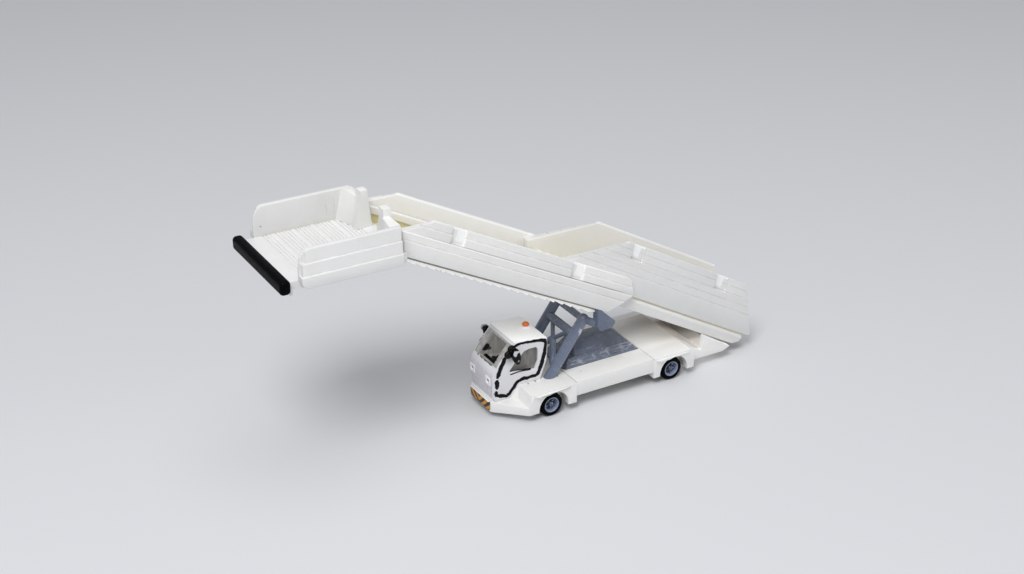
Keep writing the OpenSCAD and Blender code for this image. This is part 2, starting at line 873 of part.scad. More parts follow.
// Lower flight: two panels on rails, with the steps between them
low_planks = [0.95, 1.05, 1.05, 1.05];
low_in = low_half - sheet_t - low_lap * (len(low_planks) + 1);
low_peak_x = low_front_x - low_level;
low_corner = 0.35;
low_outline = [
    [rear_end, low_bot(rear_end) + low_corner], [rear_end + low_corner, low_bot(rear_end + low_corner)],
    [low_front_x, low_bot(low_front_x)], [low_front_x, low_top(low_peak_x)],
    [low_peak_x, low_top(low_peak_x)], [low_rear_x, low_top(low_rear_x)]
];
// places of the notches before the flight's rear end
low_notches = [low_rear_x + 17.45, low_rear_x + 4.65];
module lower_panel(s)
    place()
        color([0.9, 0.9, 0.88])
            side_of(s)
                lap_panel(low_outline, low_top(0), low_tan, low_planks, low_lap, low_in, low_notches);
bead_r = 0.5;
bead_drop = 0.2 + bead_r / cos(low_slope);
foot_cut = 0.4;
rail_x = low_rear_x + 0.5;
rail_outline = [
    [rail_x, low_bot(rail_x)], [rail_x + 0.2, foot_z + 0.35], [rail_x + 0.2 + foot_cut, foot_z],
    [low_rear_x + (rail_h - foot_h) / low_tan, foot_z], [low_front_x, low_bot(low_front_x) - rail_h],
    [low_front_x, low_bot(low_front_x)]
];
module lower_rail(s)
    place()
        color([0.9, 0.9, 0.88])
            side_of(s) {
                side_plate(low_in, low_half - bead_r)
                    polygon(rail_outline);
                side_plate(low_half - bead_r - sink, low_half)
                    intersection() {
                        polygon(rail_outline);
                        band(low_bot(0), low_tan, bead_drop, through);
                    }
                intersection() {
                    bar(
                        [rear_end, low_half - bead_r, low_bot(rear_end) - bead_drop],
                        [low_front_x + 1, low_half - bead_r, low_bot(low_front_x + 1) - bead_drop], 2 * bead_r
                    );
                    side_plate(low_in, low_half)
                        polygon(rail_outline);
                }
            }
low_rise = going * low_tan;
low_x0 = low_rear_x + 0.25;
low_steps_n = floor((low_front_x - low_x0) / going);
low_step_z = low_bot(low_x0) + 0.5;
step_t = 1;
module lower_steps()
    place()
        color([0.88, 0.87, 0.82])
            intersection() {
                side_plate(-low_in, low_in)
                    polygon(concat(
                        stair_top(low_x0, low_step_z, low_steps_n, low_rise),
                        stair_under(low_x0, low_step_z, low_steps_n, low_rise, step_t + 0.3)
                    ));
                level_plate(foot_z, through)
                    square(2 * through, center = true);
            }

// Upper flight: two panels on toothed stringers, with the steps between them
up_planks = [1, 1.15, 1];
up_peak_x = up_front_x - up_level;
panel_reach = 0.35;
up_panel_x = up_front_x + panel_reach;
up_outline = [
    [up_rear_x + 3.9, up_bot(up_rear_x + 3.9)], [up_panel_x, up_bot(up_panel_x)],
    [up_panel_x, up_top(up_peak_x)], [up_peak_x, up_top(up_peak_x)], [up_rear_x + 0.7, up_top(up_rear_x + 0.7)],
    [up_rear_x + 0.1, up_top(up_rear_x + 0.7) - 0.5], [up_rear_x, up_top(up_rear_x) - 2]
];
up_notches = [up_front_x - 6.1, up_front_x - 21.8];
// a beam along the inside of each upper panel, over the ends of the treads
beam_in = 0.3;
beam_low = 0.85;
beam_h = 0.9;
beam_x0 = low_front_x + 0.4;
function tread_z(x) = floor_z + (x - up_front_x) * up_tan;
module upper_panel(s)
    place()
        color([0.9, 0.9, 0.88])
            side_of(s) {
                lap_panel(up_outline, up_top(0), up_tan, up_planks, up_lap, low_half, up_notches);
                side_plate(low_half - beam_in, low_half + sink)
                    polygon([
                        [beam_x0, tread_z(beam_x0) + beam_low], [up_front_x, tread_z(up_front_x) + beam_low],
                        [up_front_x, tread_z(up_front_x) + beam_low + beam_h],
                        [beam_x0, tread_z(beam_x0) + beam_low + beam_h]
                    ]);
            }
module upper_steps()
    place()
        color([0.88, 0.87, 0.82])
            side_plate(-low_half, low_half)
                polygon(concat(
                    stair_top(up_x0, up_z0, up_steps_n, up_rise),
                    stair_under(up_x0, up_z0, up_steps_n, up_rise, step_t)
                ));
stringer_h = 0.9;
tooth_h = 0.24;
tooth_pitch = 1.2;
teeth = floor((up_front_x - shoe_x) / tooth_pitch);
function tooth_x(k) = up_front_x - k * tooth_pitch;
stringer_outline = concat(
    [[shoe_x, up_bot(shoe_x)], [shoe_x, up_bot(shoe_x) - stringer_h + tooth_h]],
    [
        for (k = [teeth : -1 : 1], j = [0, 1])
            [tooth_x(k) + j * tooth_pitch * 0.85, up_bot(tooth_x(k) + j * tooth_pitch * 0.85) - stringer_h + j * tooth_h]
    ],
    [[up_front_x, up_bot(up_front_x) - stringer_h + tooth_h], [up_front_x, up_bot(up_front_x)]]
);
module upper_stringer(s)
    place()
        color([0.9, 0.9, 0.88])
            side_of(s)
                side_plate(low_half, low_half + sheet_t)
                    polygon(stringer_outline);

// Platform: grooved floor, lapped side walls, end walls with posts, and the bumper
floor_t = 1;
// grooves across the floor, in groups, the first group's last groove at that distance from the front edge
groove_at = 3;
groove_w = 0.14;
groove_depth = 0.1;
groove_pitch = 0.4125;
group_pitch = 2.37;
grooves = 5;
groups = 5;
sill_len = 1.9;
peg_d = 0.36;
peg_h = 0.6;
peg_in = 0.28;
module platform_floor()
    place()
        color([0.9, 0.9, 0.89])
            difference() {
                union() {
                    box([floor_x0, -floor_half, floor_z - floor_t], [floor_x1, floor_half, floor_z]);
                    both_sides()
                        translate([floor_x1 - peg_in, floor_half - peg_in, floor_z - floor_t - peg_h])
                            cylinder(d = peg_d, h = peg_h + sink);
                }
                for (k = [0 : groups - 1], j = [0 : grooves - 1]) {
                    x = floor_x1 - groove_at + j * groove_pitch - k * group_pitch;
                    if (x + groove_w < floor_x1 - sill_len)
                        box([x, -through, floor_z - groove_depth], [x + groove_w, through, floor_z + 1]);
                }
                both_sides()
                    box([0, low_half - sink, 0], [up_panel_x + sink, through, through]);
            }
wall_x0 = floor_x0 + 1.25;
wall_x1 = floor_x1 - 1.05;
wall_top = floor_z + wall_h;
wall_bot = floor_z - 0.75;
wall_t = 0.3;
wall_corner = 0.55;
// bands from the top down, as height, outer face past the sheet's inner face, and set-back of the front end
wall_bands = [[1.55, 0.6, 0.7], [1.4, 0.85, 0.25], [1.4, 1.1, 0]];
wall_sheet = [
    [wall_x0, wall_bot], [wall_x1 - wall_corner, wall_bot], [wall_x1 - 0.05, wall_bot + wall_corner],
    [wall_x1, wall_top - 2.35], [wall_x1 - 0.15, wall_top - 1.15], [wall_x1 - 0.55, wall_top - 0.4],
    [wall_x1 - 1.1, wall_top], [wall_x0, wall_top]
];
module platform_wall(s)
    place()
        color([0.9, 0.9, 0.89])
            side_of(s) {
                side_plate(floor_half, floor_half + wall_t)
                    polygon(wall_sheet);
                for (i = [0 : len(wall_bands) - 1]) {
                    high = wall_top - sum_to([for (b = wall_bands) b[0]], i - 1);
                    x1 = wall_x1 - wall_bands[i][2];
                    side_plate(floor_half + wall_t - sink, floor_half + wall_bands[i][1])
                        intersection() {
                            polygon(wall_sheet);
                            translate([wall_x0, high - wall_bands[i][0]])
                                square([x1 - wall_x0, wall_bands[i][0]]);
                        }
                }
            }
post_y = [2.35, 3.45];
post_x = floor_x0 + 1.8;
post_top = wall_top + 0.9;
// an end wall's front face at the post and at the side wall, as x at the floor and at the top
end_at_post = [floor_x0 + 2.35, floor_x0 + 1.95];
end_at_wall = [floor_x0 + 3.3, floor_x0 + 2.35];
end_rear = [floor_x0 + 0.9, floor_x0 + 1.1];
module end_section(y, front)
    side_plate(y - slice, y)
        polygon([[end_rear[0], floor_z], [front[0], floor_z], [front[1], wall_top], [end_rear[1], wall_top]]);
post_outline = [
    [floor_x0 + 0.45, floor_z], [floor_x0 + 2.5, floor_z], [post_x, wall_top - 0.15], [post_x, post_top],
    [floor_x0 + 0.9, post_top], [floor_x0 + 0.8, wall_top - 0.45]
];
module end_wall(s)
    place()
        color([0.9, 0.9, 0.89])
            side_of(s)
                union() {
                    hull() {
                        end_section(post_y[1], end_at_post);
                        end_section(floor_half, end_at_wall);
                    }
                    side_plate(post_y[0], post_y[1])
                        polygon(post_outline);
                }
bumper_half = floor_half + 0.77;
bumper_z = [floor_z - 0.52, floor_z - 0.12];
bumper_back_z = floor_z + 0.1;
module platform_bumper()
    place()
        color([0.04, 0.04, 0.05]) {
            for (z = bumper_z)
                translate([bumper_x, -bumper_half, z])
                    rotate([-90, 0, 0])
                        cylinder(r = bumper_r, h = 2 * bumper_half);
            box([bumper_x - sink, -bumper_half, bumper_z[0]], [bumper_x + bumper_r, bumper_half, bumper_z[1]]);
            box([floor_x1, -bumper_half, bumper_z[0] - bumper_r], [bumper_x, bumper_half, bumper_back_z]);
        }

chassis_body();
base_plate();
chevron_plate();
tail_cradle();
cab_shell();
door(1);  // door_l
door(-1);  // door_r
door_seal(1);  // door_seal_l
door_seal(-1);  // door_seal_r
front_panel();
dashboard();
steering_wheel();
seat();
headlight(1);  // headlight_l
headlight(-1);  // headlight_r
mirror_arm(1);  // mirror_l
mirror_arm(-1);  // mirror_r
mirror_glass(1);  // mirror_glass_l
mirror_glass(-1);  // mirror_glass_r
beacon_base();
beacon();
hood();
lift_tube(1);  // lift_tube_l
lift_tube(-1);  // lift_tube_r
lift_cross_upper();
lift_cross_lower();
lift_brace();
shoe(1);  // shoe_l
shoe(-1);  // shoe_r
lower_panel(1);  // lower_panel_l
lower_panel(-1);  // lower_panel_r
lower_rail(1);  // lower_rail_l
lower_rail(-1);  // lower_rail_r
lower_steps();
upper_panel(1);  // upper_panel_l
upper_panel(-1);  // upper_panel_r
upper_stringer(1);  // upper_stringer_l
upper_stringer(-1);  // upper_stringer_r
upper_steps();
platform_floor();
platform_wall(1);  // platform_wall_l
platform_wall(-1);  // platform_wall_r
end_wall(1);  // end_wall_l
end_wall(-1);  // end_wall_r
platform_bumper();
axle(0);  // front_axle
axle(rear_axle_x);  // rear_axle
tyre(0, 1);  // tyre_fl
tyre(0, -1);  // tyre_fr
tyre(rear_axle_x, 1);  // tyre_rl
tyre(rear_axle_x, -1);  // tyre_rr
hub(0, 1);  // hub_fl
hub(0, -1);  // hub_fr
hub(rear_axle_x, 1);  // hub_rl
hub(rear_axle_x, -1);  // hub_rr
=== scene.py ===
# Model of mobile aircraft stairs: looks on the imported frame.
import json
import math
import re
import bpy
from mathutils import Matrix, Vector, noise


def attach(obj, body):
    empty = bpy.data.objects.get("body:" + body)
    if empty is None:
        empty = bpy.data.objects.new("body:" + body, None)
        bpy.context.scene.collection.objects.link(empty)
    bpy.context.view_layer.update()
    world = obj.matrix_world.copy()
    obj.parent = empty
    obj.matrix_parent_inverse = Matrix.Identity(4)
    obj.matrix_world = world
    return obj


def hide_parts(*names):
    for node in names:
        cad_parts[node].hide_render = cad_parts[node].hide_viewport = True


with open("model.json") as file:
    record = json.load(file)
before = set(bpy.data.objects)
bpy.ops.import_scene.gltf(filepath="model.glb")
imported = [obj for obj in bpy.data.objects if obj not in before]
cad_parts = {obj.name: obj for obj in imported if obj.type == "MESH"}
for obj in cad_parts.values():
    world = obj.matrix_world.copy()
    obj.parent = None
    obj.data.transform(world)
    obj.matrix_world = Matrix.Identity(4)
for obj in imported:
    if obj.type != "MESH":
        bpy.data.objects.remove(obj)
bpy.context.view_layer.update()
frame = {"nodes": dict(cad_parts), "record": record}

# Lengths below are millimetres, measured from the ground under the front axle.
# A finished mesh is turned into metres and moved to the part's origin as its last step.
MM = 0.001
MIDDLE_X = 1.51402
LOW_SLOPE = math.tan(math.radians(29.5))
UP_SLOPE = math.tan(math.radians(27.4))
WHEELBASE = 17.44
TYRE_R = 1.5
TYRE_MIDDLE = 5.25
# heights of the panels' tops at x = 0 on their slopes, and of the platform walls
UP_TOP = 21.0022
LOW_TOP = 26.1146
WALL_TOP = 29.85
# places of the panels' notches along x, at their tops
LOW_NOTCHES = (-12.71, -25.51)
UP_NOTCHES = (12.3, -3.4)
# half-widths over the sheets that carry the panels' planks and the walls' bands, and of the tail cradle
LOW_SHEET = 3.48
UP_SHEET = 4.62
WALL_SHEET = 6.42
CRADLE_HALF = 4.95
# width of a notch, its lean backwards for each millimetre down, and its foot's depth below the panel's top
NOTCH_W = 1.7
NOTCH_LEAN = 0.36
NOTCH_FOOT = 1.78
# depths below the panels' tops, of the lower panels' feet and of the stringers
LOW_PANEL_H = 6.95
STRINGER_DROP = 5.1
# heights of the deck and of the cab roof's edge
DECK_TOP = 3.7
ROOF_EDGE = 9.3
# middle of the left headlight, and how much larger the painted one is
HEADLIGHT_PLACE = (6.5, 1.88, 4.87)
HEADLIGHT_GROWTH = (1, 1.22, 1.18)
# the beacon and its base stand to the right of the middle
BEACON_PLACE = (0.17, -0.25, 9.66)
BEACON_BASE_SHIFT = (0, -0.25, 0.04)
# the steering wheel's middle in the solids and on the painted model, and how much larger it is there
WHEEL_FROM = (4.55, 1.25, 6.65)
WHEEL_TO = (4.80, 1.35, 6.85)
WHEEL_GROWTH = (1.35, 1.35, 1.35)
# slanting cut behind the hood
HOOD_CUT_PLACE = (-14.5, 0, 3.7)
HOOD_CUT_NORMAL = (-1.15, 0, 1.0)
# half-width of the cab's side at places along its length
CAB_HALF = ((-1.15, 2.70), (-0.8, 3.07), (3.4, 2.82), (6.2, 2.75), (6.5, 2.55))

# camera at the photograph's viewing angle, round a point given from the part's middle
CAMERA_AZIMUTH = math.radians(149.9)
CAMERA_HEIGHT = math.radians(26.68)
CAMERA_ROLL = math.radians(-0.1)
CAMERA_DISTANCE = 196.13 * MM
CAMERA_TARGET = Vector((0.276, -0.68, 15.0)) * MM
CAMERA_LENS = 58.07


def add_camera():
    back = Vector((
        math.sin(CAMERA_AZIMUTH) * math.cos(CAMERA_HEIGHT),
        -math.cos(CAMERA_AZIMUTH) * math.cos(CAMERA_HEIGHT),
        math.sin(CAMERA_HEIGHT),
    ))
    turn = back.to_track_quat("Z", "Y") @ Matrix.Rotation(CAMERA_ROLL, 3, "Z").to_quaternion()
    data = bpy.data.cameras.new("camera")
    data.lens = CAMERA_LENS
    data.sensor_width = 36
    data.sensor_fit = "HORIZONTAL"
    data.clip_start = 0.005
    camera = bpy.data.objects.new("camera", data)
    camera.rotation_mode = "QUATERNION"
    camera.rotation_quaternion = turn
    camera.location = CAMERA_TARGET + back * CAMERA_DISTANCE
    bpy.context.scene.collection.objects.link(camera)
    bpy.context.scene.camera = camera


# Shader maths
class Value:
    """One socket of a material, which can be added, multiplied and compared."""

    def __init__(self, paint, socket):
        self.paint = paint
        self.socket = socket

    def maths(self, operation, *others, clamp=False):
        made = self.paint.node("ShaderNodeMath", {"operation": operation, "use_clamp": clamp},
                               dict(enumerate((self, *others))))
        return Value(self.paint, made.outputs[0])

    def __add__(self, other):
        return self.maths("ADD", other)

    __radd__ = __add__

    def __mul__(self, other):
        return self.maths("MULTIPLY", other)

    __rmul__ = __mul__

    def __sub__(self, other):
        return self.maths("SUBTRACT", other)

    def __rsub__(self, other):
        return (self * -1) + other

    def __abs__(self):
        return self.maths("ABSOLUTE")

    def less(self, other):
        return self.maths("LESS_THAN", other)

    def more(self, other):
        return self.maths("GREATER_THAN", other)

    def least(self, other):
        return self.maths("MINIMUM", other)

    def most(self, other):
        return self.maths("MAXIMUM", other)

    def between(self, low, high):
        return self.more(low) * self.less(high)

    def wrap(self, size):
        return self.maths("WRAP", size, 0.0)

    def ramp(self, low, high):
        """0 where the value is low, 1 where it is high, soft between."""
        made = self.paint.node("ShaderNodeMapRange", {"interpolation_type": "SMOOTHSTEP"},
                               {"Value": self, "From Min": low, "From Max": high})
        return Value(self.paint, made.outputs[0])


class Paint:
    """A material on one Principled shader; its patterns read Object coordinates, in millimetres."""

    def __init__(self, name, colour, roughness, metallic=0.0, coat=0.0):
        self.material = bpy.data.materials.new(name)
        self.material.use_nodes = True
        self.tree = self.material.node_tree
        self.shader = self.tree.nodes["Principled BSDF"]
        self.colour = colour
        self.heights = []
        self.shader.inputs["Base Color"].default_value = (*colour, 1)
        self.shader.inputs["Roughness"].default_value = roughness
        self.shader.inputs["Metallic"].default_value = metallic
        self.shader.inputs["Coat Weight"].default_value = coat
        self.shader.inputs["Coat Roughness"].default_value = 0.2
        coords = self.node("ShaderNodeTexCoord")
        scaled = self.node("ShaderNodeVectorMath", {"operation": "SCALE"},
                           {0: Value(self, coords.outputs["Object"]), "Scale": 1 / MM})
        moved = self.node("ShaderNodeVectorMath", {"operation": "ADD"},
                          {0: Value(self, scaled.outputs[0]), 1: (MIDDLE_X, 0, 0)})
        self.place = Value(self, moved.outputs[0])
        parts = self.node("ShaderNodeSeparateXYZ", {}, {0: self.place})
        self.x, self.y, self.z = (Value(self, parts.outputs[i]) for i in range(3))
        self.out = abs(self.y)

    def node(self, kind, settings=None, inputs=None):
        made = self.tree.nodes.new(kind)
        for name, value in (settings or {}).items():
            setattr(made, name, value)
        for key, value in (inputs or {}).items():
            if isinstance(value, Value):
                self.tree.links.new(value.socket, made.inputs[key])
            else:
                made.inputs[key].default_value = value
        return made

    def noise(self, size, detail=2.0, stretch=None):
        """Smooth noise from 0 to 1 whose lumps are about that size."""
        place = self.place
        if stretch:
            made = self.node("ShaderNodeVectorMath", {"operation": "MULTIPLY"}, {0: place, 1: stretch})
            place = Value(self, made.outputs[0])
        made = self.node("ShaderNodeTexNoise", {},
                         {"Vector": place, "Scale": 1 / size, "Detail": detail, "Roughness": 0.55})
        return Value(self, made.outputs[0])

    def mixed(self, amount, low, high):
        """The colour low where amount is 0 and high where it is 1."""
        made = self.node("ShaderNodeMix", {"data_type": "RGBA"},
                         {0: amount, 6: self.rgba(low), 7: self.rgba(high)})
        return Value(self, made.outputs[2])

    def rgba(self, colour):
        return colour if isinstance(colour, Value) else (*colour, 1)

    def tint(self, amount, colour):
        """Lays a colour over what the material has so far."""
        self.colour = self.mixed(amount, self.colour, colour)
        self.tree.links.new(self.colour.socket, self.shader.inputs["Base Color"])

    def set(self, name, value):
        self.tree.links.new(value.socket, self.shader.inputs[name])

    def glow(self, amount, colour):
        """Painted light: emission that brightens a surface, though the part is no lamp."""
        self.set("Emission Color", self.mixed(amount, (0, 0, 0), colour))
        self.shader.inputs["Emission Strength"].default_value = 1.0

    def bump(self, height, depth):
        """Raises the surface by depth millimetres where height is 1."""
        self.heights.append(height * depth)

    def done(self):
        if self.heights:
            total = self.heights[0]
            for more in self.heights[1:]:
                total = total + more
            made = self.node("ShaderNodeBump", {}, {"Height": total * MM, "Distance": 1.0, "Strength": 1.0})
            self.tree.links.new(made.outputs[0], self.shader.inputs["Normal"])
        return self.material

    def level(self, slope, top):
        """Height above a slope that passes through that height at x = 0."""
        return self.z - self.x * slope - top

    def specks(self, size, share, radius, colour):
        """Small specks of dirt: one cell of that size in so many holds one."""
        made = self.node("ShaderNodeTexVoronoi", {}, {"Vector": self.place, "Scale": 1 / size})
        parts = self.node("ShaderNodeSeparateColor", {}, {0: Value(self, made.outputs["Color"])})
        chosen = Value(self, parts.outputs[0]).more(1 - share)
        self.tint(Value(self, made.outputs["Distance"]).less(radius / size) * chosen, colour)

    def distance(self, centre, scale=(1, 1, 1)):
        """Distance to a point, each axis counted with its scale."""
        moved = self.node("ShaderNodeVectorMath", {"operation": "SUBTRACT"}, {0: self.place, 1: centre})
        scaled = self.node("ShaderNodeVectorMath", {"operation": "MULTIPLY"},
                           {0: Value(self, moved.outputs[0]), 1: scale})
        made = self.node("ShaderNodeVectorMath", {"operation": "LENGTH"}, {0: Value(self, scaled.outputs[0])})
        return Value(self, made.outputs["Value"])

    def spot(self, centre, radius, colour, strength=1.0, scale=(1, 1, 1)):
        ragged = self.distance(centre, scale) + self.noise(0.25, 2.0) * radius - radius * 0.5
        self.tint(ragged.ramp(radius, radius * 0.6) * strength, colour)

    def notches(self, slope, top, places, low, high, first, last):
        """Painted highlights: bright bands on the sheet in the panels' notches, and painted shade that dulls
        the notch edges beside a narrow band.
        """
        depth = self.level(slope, top) * -1
        for place in places:
            across = depth * NOTCH_LEAN + place - self.x
            band = across.ramp(first - 0.1, first + 0.1) * across.ramp(last + 0.1, last - 0.1)
            sheet = self.out.between(low, high) * depth.ramp(1.8, 1.5)
            self.tint(band * sheet * 0.8, HIGHLIGHT_PALE)
            if last < NOTCH_W - 0.2:
                side = abs(across - NOTCH_W).less(0.1) * depth.less(NOTCH_FOOT + 0.07)
                foot = abs(depth - NOTCH_FOOT).less(0.1) * across.between(0.0, NOTCH_W + 0.1)
                self.tint(side.most(foot) * self.out.more(high) * 0.7, (0.50, 0.50, 0.49))

    def creases(self, slope, top, drops, outside, width=0.09, colour=(0.40, 0.39, 0.37)):
        """Painted shade in the corners over the laps: lines that run along a slope, at drops below its top.
        """
        level = self.level(slope, top)
        nearest = None
        for drop in drops:
            gap = abs(level + (drop - width * 0.6))
            nearest = gap if nearest is None else nearest.least(gap)
        patchy = self.noise(2.2, 3.0, (1, 1, 2)).ramp(0.3, 0.62) * 0.3 + 0.2
        self.tint(nearest.ramp(width, width * 0.35) * patchy * self.out.more(outside), colour)


def white_paint(name, colour=(0.80, 0.80, 0.785), shade=(0.955, 0.95, 0.93), grain=0.012):
    paint = Paint(name, colour, 0.42, coat=0.15)
    blotch = paint.noise(1.6, 3.0)
    paint.tint(blotch.ramp(0.35, 0.75) * 0.5, tuple(c * k for c, k in zip(colour, shade)))
    paint.bump(paint.noise(0.085, 2.0), grain)
    paint.bump(paint.noise(0.45, 2.0), 0.02)
    paint.set("Roughness", blotch * 0.16 + 0.36)
    return paint


def grey_blue(name, colour=(0.125, 0.153, 0.222), light=(0.148, 0.178, 0.255)):
    paint = Paint(name, colour, 0.3, coat=0.7)
    cloud = paint.noise(1.3, 3.0)
    paint.tint(cloud.ramp(0.35, 0.7) * 0.6, light)
    fleck = paint.noise(0.22, 3.0).ramp(0.66, 0.76) * paint.noise(1.1, 2.0).ramp(0.5, 0.6)
    paint.tint(fleck * 0.6, (0.6, 0.63, 0.7))
    paint.bump(paint.noise(0.3, 3.0), 0.02)
    paint.set("Roughness", cloud * 0.2 + 0.16)
    return paint


def plain(name, colour, roughness, coat=0.0, metallic=0.0, grain=0.012, gloss=0.5):
    paint = Paint(name, colour, roughness, metallic=metallic, coat=coat)
    paint.shader.inputs["Specular IOR Level"].default_value = gloss
    cloud = paint.noise(0.6, 3.0)
    paint.tint(cloud.ramp(0.3, 0.75) * 0.5, tuple(min(1.0, c * 0.8) for c in colour))
    paint.bump(paint.noise(0.1, 2.0), grain)
    paint.set("Roughness", cloud * 0.2 + (roughness - 0.1))
    return paint


GRIME = (0.16, 0.12, 0.09)
DARK = (0.02, 0.018, 0.016)
# colour of painted highlights
HIGHLIGHT_PALE = (0.90, 0.90, 0.89)
SMUDGE = (0.012, 0.011, 0.014)


# specks and seams of the chassis, as places on its deck
DECK_SMUDGES = ((0.75, 3.05), (1.8, 3.15), (-2.15, 3.35))
DECK_SEAMS = (-3.4, -14.65)
# grey of the seams, also used for a painted shadow line
SEAM_AND_SHADOW_GREY = (0.40, 0.38, 0.34)


def chassis_paint():
    paint = white_paint("chassis_white", (0.80, 0.798, 0.787))
    # painted shade: warm brown shade on the deck under the flights, darker towards the far side within the
    # cradle
    under = paint.x.ramp(-15.0, -20.5)
    paint.tint(under * paint.out.ramp(5.2, 3.0) * 0.3, (0.72, 0.60, 0.53))
    paint.tint(under * paint.y.ramp(1.0, -3.0) * paint.out.less(CRADLE_HALF) * 0.6, (0.40, 0.345, 0.30))
    for x, y in DECK_SMUDGES:
        for side in (1, -1):
            paint.spot((x, y * side, DECK_TOP - 0.08), 0.2, GRIME, 0.85)
    paint.spot((-1.83, 3.17, DECK_TOP), 0.22, DARK)
    for seam in DECK_SEAMS:
        paint.tint(abs(paint.x - seam).less(0.07) * paint.z.more(DECK_TOP - 0.12) * 0.45, SEAM_AND_SHADOW_GREY)
    paint.spot((-5.3, 3.78, DECK_TOP), 0.1, (0.3, 0.3, 0.3))
    # painted shadow: a grey line under a ridge along the front fender's side
    ridge_shadow = abs(paint.z - 3.33 + paint.x * 0.03).ramp(0.1, 0.04) * paint.out.more(5.6)
    paint.tint(ridge_shadow * paint.x.between(-2.5, 1.7) * 0.8, SEAM_AND_SHADOW_GREY)
    paint.specks(2.6, 0.12, 0.05, GRIME)
    # painted light: a glow on the deck under the flights and low inside the tail cradle
    deck = paint.x.ramp(-6.0, -16.0) * paint.y.ramp(-3.0, 0.5) * paint.y.ramp(4.2, 2.6)
    cradle = paint.z.ramp(2.6, 2.0) * paint.x.ramp(-21.0, -23.0) * paint.y.ramp(0.0, 1.6)
    paint.glow(deck * 0.4 + cradle * paint.y.less(CRADLE_HALF), (0.40, 0.385, 0.37))
    return paint


def cab_paint():
    paint = white_paint("cab_white", (0.71, 0.715, 0.735), (0.95, 0.95, 0.96))
    paint.tint(paint.x.ramp(6.15, 6.35) * 0.5, (0.64, 0.625, 0.68))
    paint.tint(paint.noise(0.5, 3.0).ramp(0.62, 0.7) * paint.x.more(5.0) * 0.5, (0.5, 0.5, 0.56))
    # painted light: the roof made lighter
    paint.tint(paint.z.ramp(8.95, ROOF_EDGE) * paint.x.less(3.5), (0.83, 0.835, 0.85))
    edge = abs(paint.z - 6.63 + (paint.noise(0.3, 2.0) - 0.5) * 0.2).less(0.09) * paint.out.less(1.9)
    paint.tint(edge * paint.x.more(5.3) * paint.noise(0.5, 2.0).ramp(0.42, 0.48), DARK)
    return paint


def interior_tint(paint):
    """Grey-beige, streaky walls inside the cab."""
    inside = paint.out.less(2.62) * paint.x.between(-0.98, 5.9) * paint.z.between(4.0, 9.25)
    streak = paint.noise(0.5, 3.0, (1, 1, 0.3)).ramp(0.35, 0.7)
    ragged = paint.distance((4.4, -2.43, 6.75), (0.85, 0.3, 1.0)) + paint.noise(0.4, 2.0) * 0.3
    smudge = ragged.ramp(0.68, 0.55)
    paint.tint(inside * (0.95 - streak * 0.12), (0.18, 0.174, 0.165))
    paint.tint(smudge, SMUDGE)
    # painted light: a glow on the walls inside the cab, outside the smudge, and on the roof
    roof = paint.z.ramp(9.0, ROOF_EDGE) * paint.x.less(3.5)
    paint.glow(inside * (1 - smudge) * (streak * 0.5 + 0.6) + roof, (0.16, 0.156, 0.152))
    return paint


def upper_paint():
    paint = white_paint("upper_panel_white", (0.76, 0.758, 0.745))
    # the inner faces in warm cream, lightened as painted light
    paint.tint(paint.out.less(4.3) * 0.6, (0.80, 0.785, 0.74))
    paint.creases(UP_SLOPE, UP_TOP, (1.0, 3.15), UP_SHEET)
    level = paint.level(UP_SLOPE, UP_TOP)
    # painted shade under the inner ledge, in the yellow of bare resin
    paint.tint(level.ramp(-3.38, -3.52) * paint.out.less(4.4) * 0.8, (0.62, 0.55, 0.27))
    paint.notches(UP_SLOPE, UP_TOP, UP_NOTCHES, UP_SHEET - 0.08, UP_SHEET + 0.02, 0.7, 1.75)
    # painted highlight along the panel's top edge
    paint.tint(level.ramp(-0.30, -0.22) * paint.out.less(UP_SHEET) * 0.9, HIGHLIGHT_PALE)
    paint.spot((5.2, 5.2, 20.1), 0.1, GRIME)
    paint.specks(3.0, 0.1, 0.045, GRIME)
    return paint


def lower_paint():
    paint = white_paint("lower_panel_white", (0.70, 0.70, 0.692))
    # the inner faces in warm cream, lightened as painted light
    paint.tint(paint.out.less(3.2) * 0.9, (0.80, 0.782, 0.735))
    paint.creases(LOW_SLOPE, LOW_TOP, (0.95, 2.0, 3.05, 4.1), LOW_SHEET)
    paint.notches(LOW_SLOPE, LOW_TOP, LOW_NOTCHES, LOW_SHEET - 0.04, LOW_SHEET + 0.06, 0.0, 1.15)
    level = paint.level(LOW_SLOPE, LOW_TOP)
    # painted highlight along the panel's top edge
    paint.tint(level.ramp(-0.30, -0.22) * paint.out.less(LOW_SHEET + 0.04) * 0.9, HIGHLIGHT_PALE)
    # painted light: a glow along the panel's foot, over the groove
    paint.glow(level.ramp(-6.85, -6.98), (0.10, 0.093, 0.07))
    paint.specks(3.0, 0.08, 0.045, GRIME)
    return paint


def rail_paint():
    paint = white_paint("rail_white", (0.74, 0.735, 0.72))
    level = paint.level(LOW_SLOPE, LOW_TOP - LOW_PANEL_H)
    # painted shade in the groove under the panel, in olive with the yellow of bare resin
    paint.tint(level.ramp(-0.32, -0.12) * 0.6, (0.66, 0.60, 0.40))
    # painted light: a glow in that groove
    paint.glow(level.ramp(-0.36, -0.16), (0.10, 0.092, 0.065))
    return paint


def stringer_paint():
    paint = white_paint("stringer_white", (0.80, 0.79, 0.765))
    level = paint.level(UP_SLOPE, UP_TOP - STRINGER_DROP)
    # painted shade: a dark brown line in the gap under the panel
    paint.tint(level.ramp(-0.44, -0.32) * 0.85, (0.20, 0.17, 0.12))
    # painted light: a glow on the stringer below that line
    paint.glow(level.ramp(-0.36, -0.48), (0.30, 0.298, 0.288))
    paint.spot((13.95, 4.6, 22.36), 0.12, DARK)
    return paint


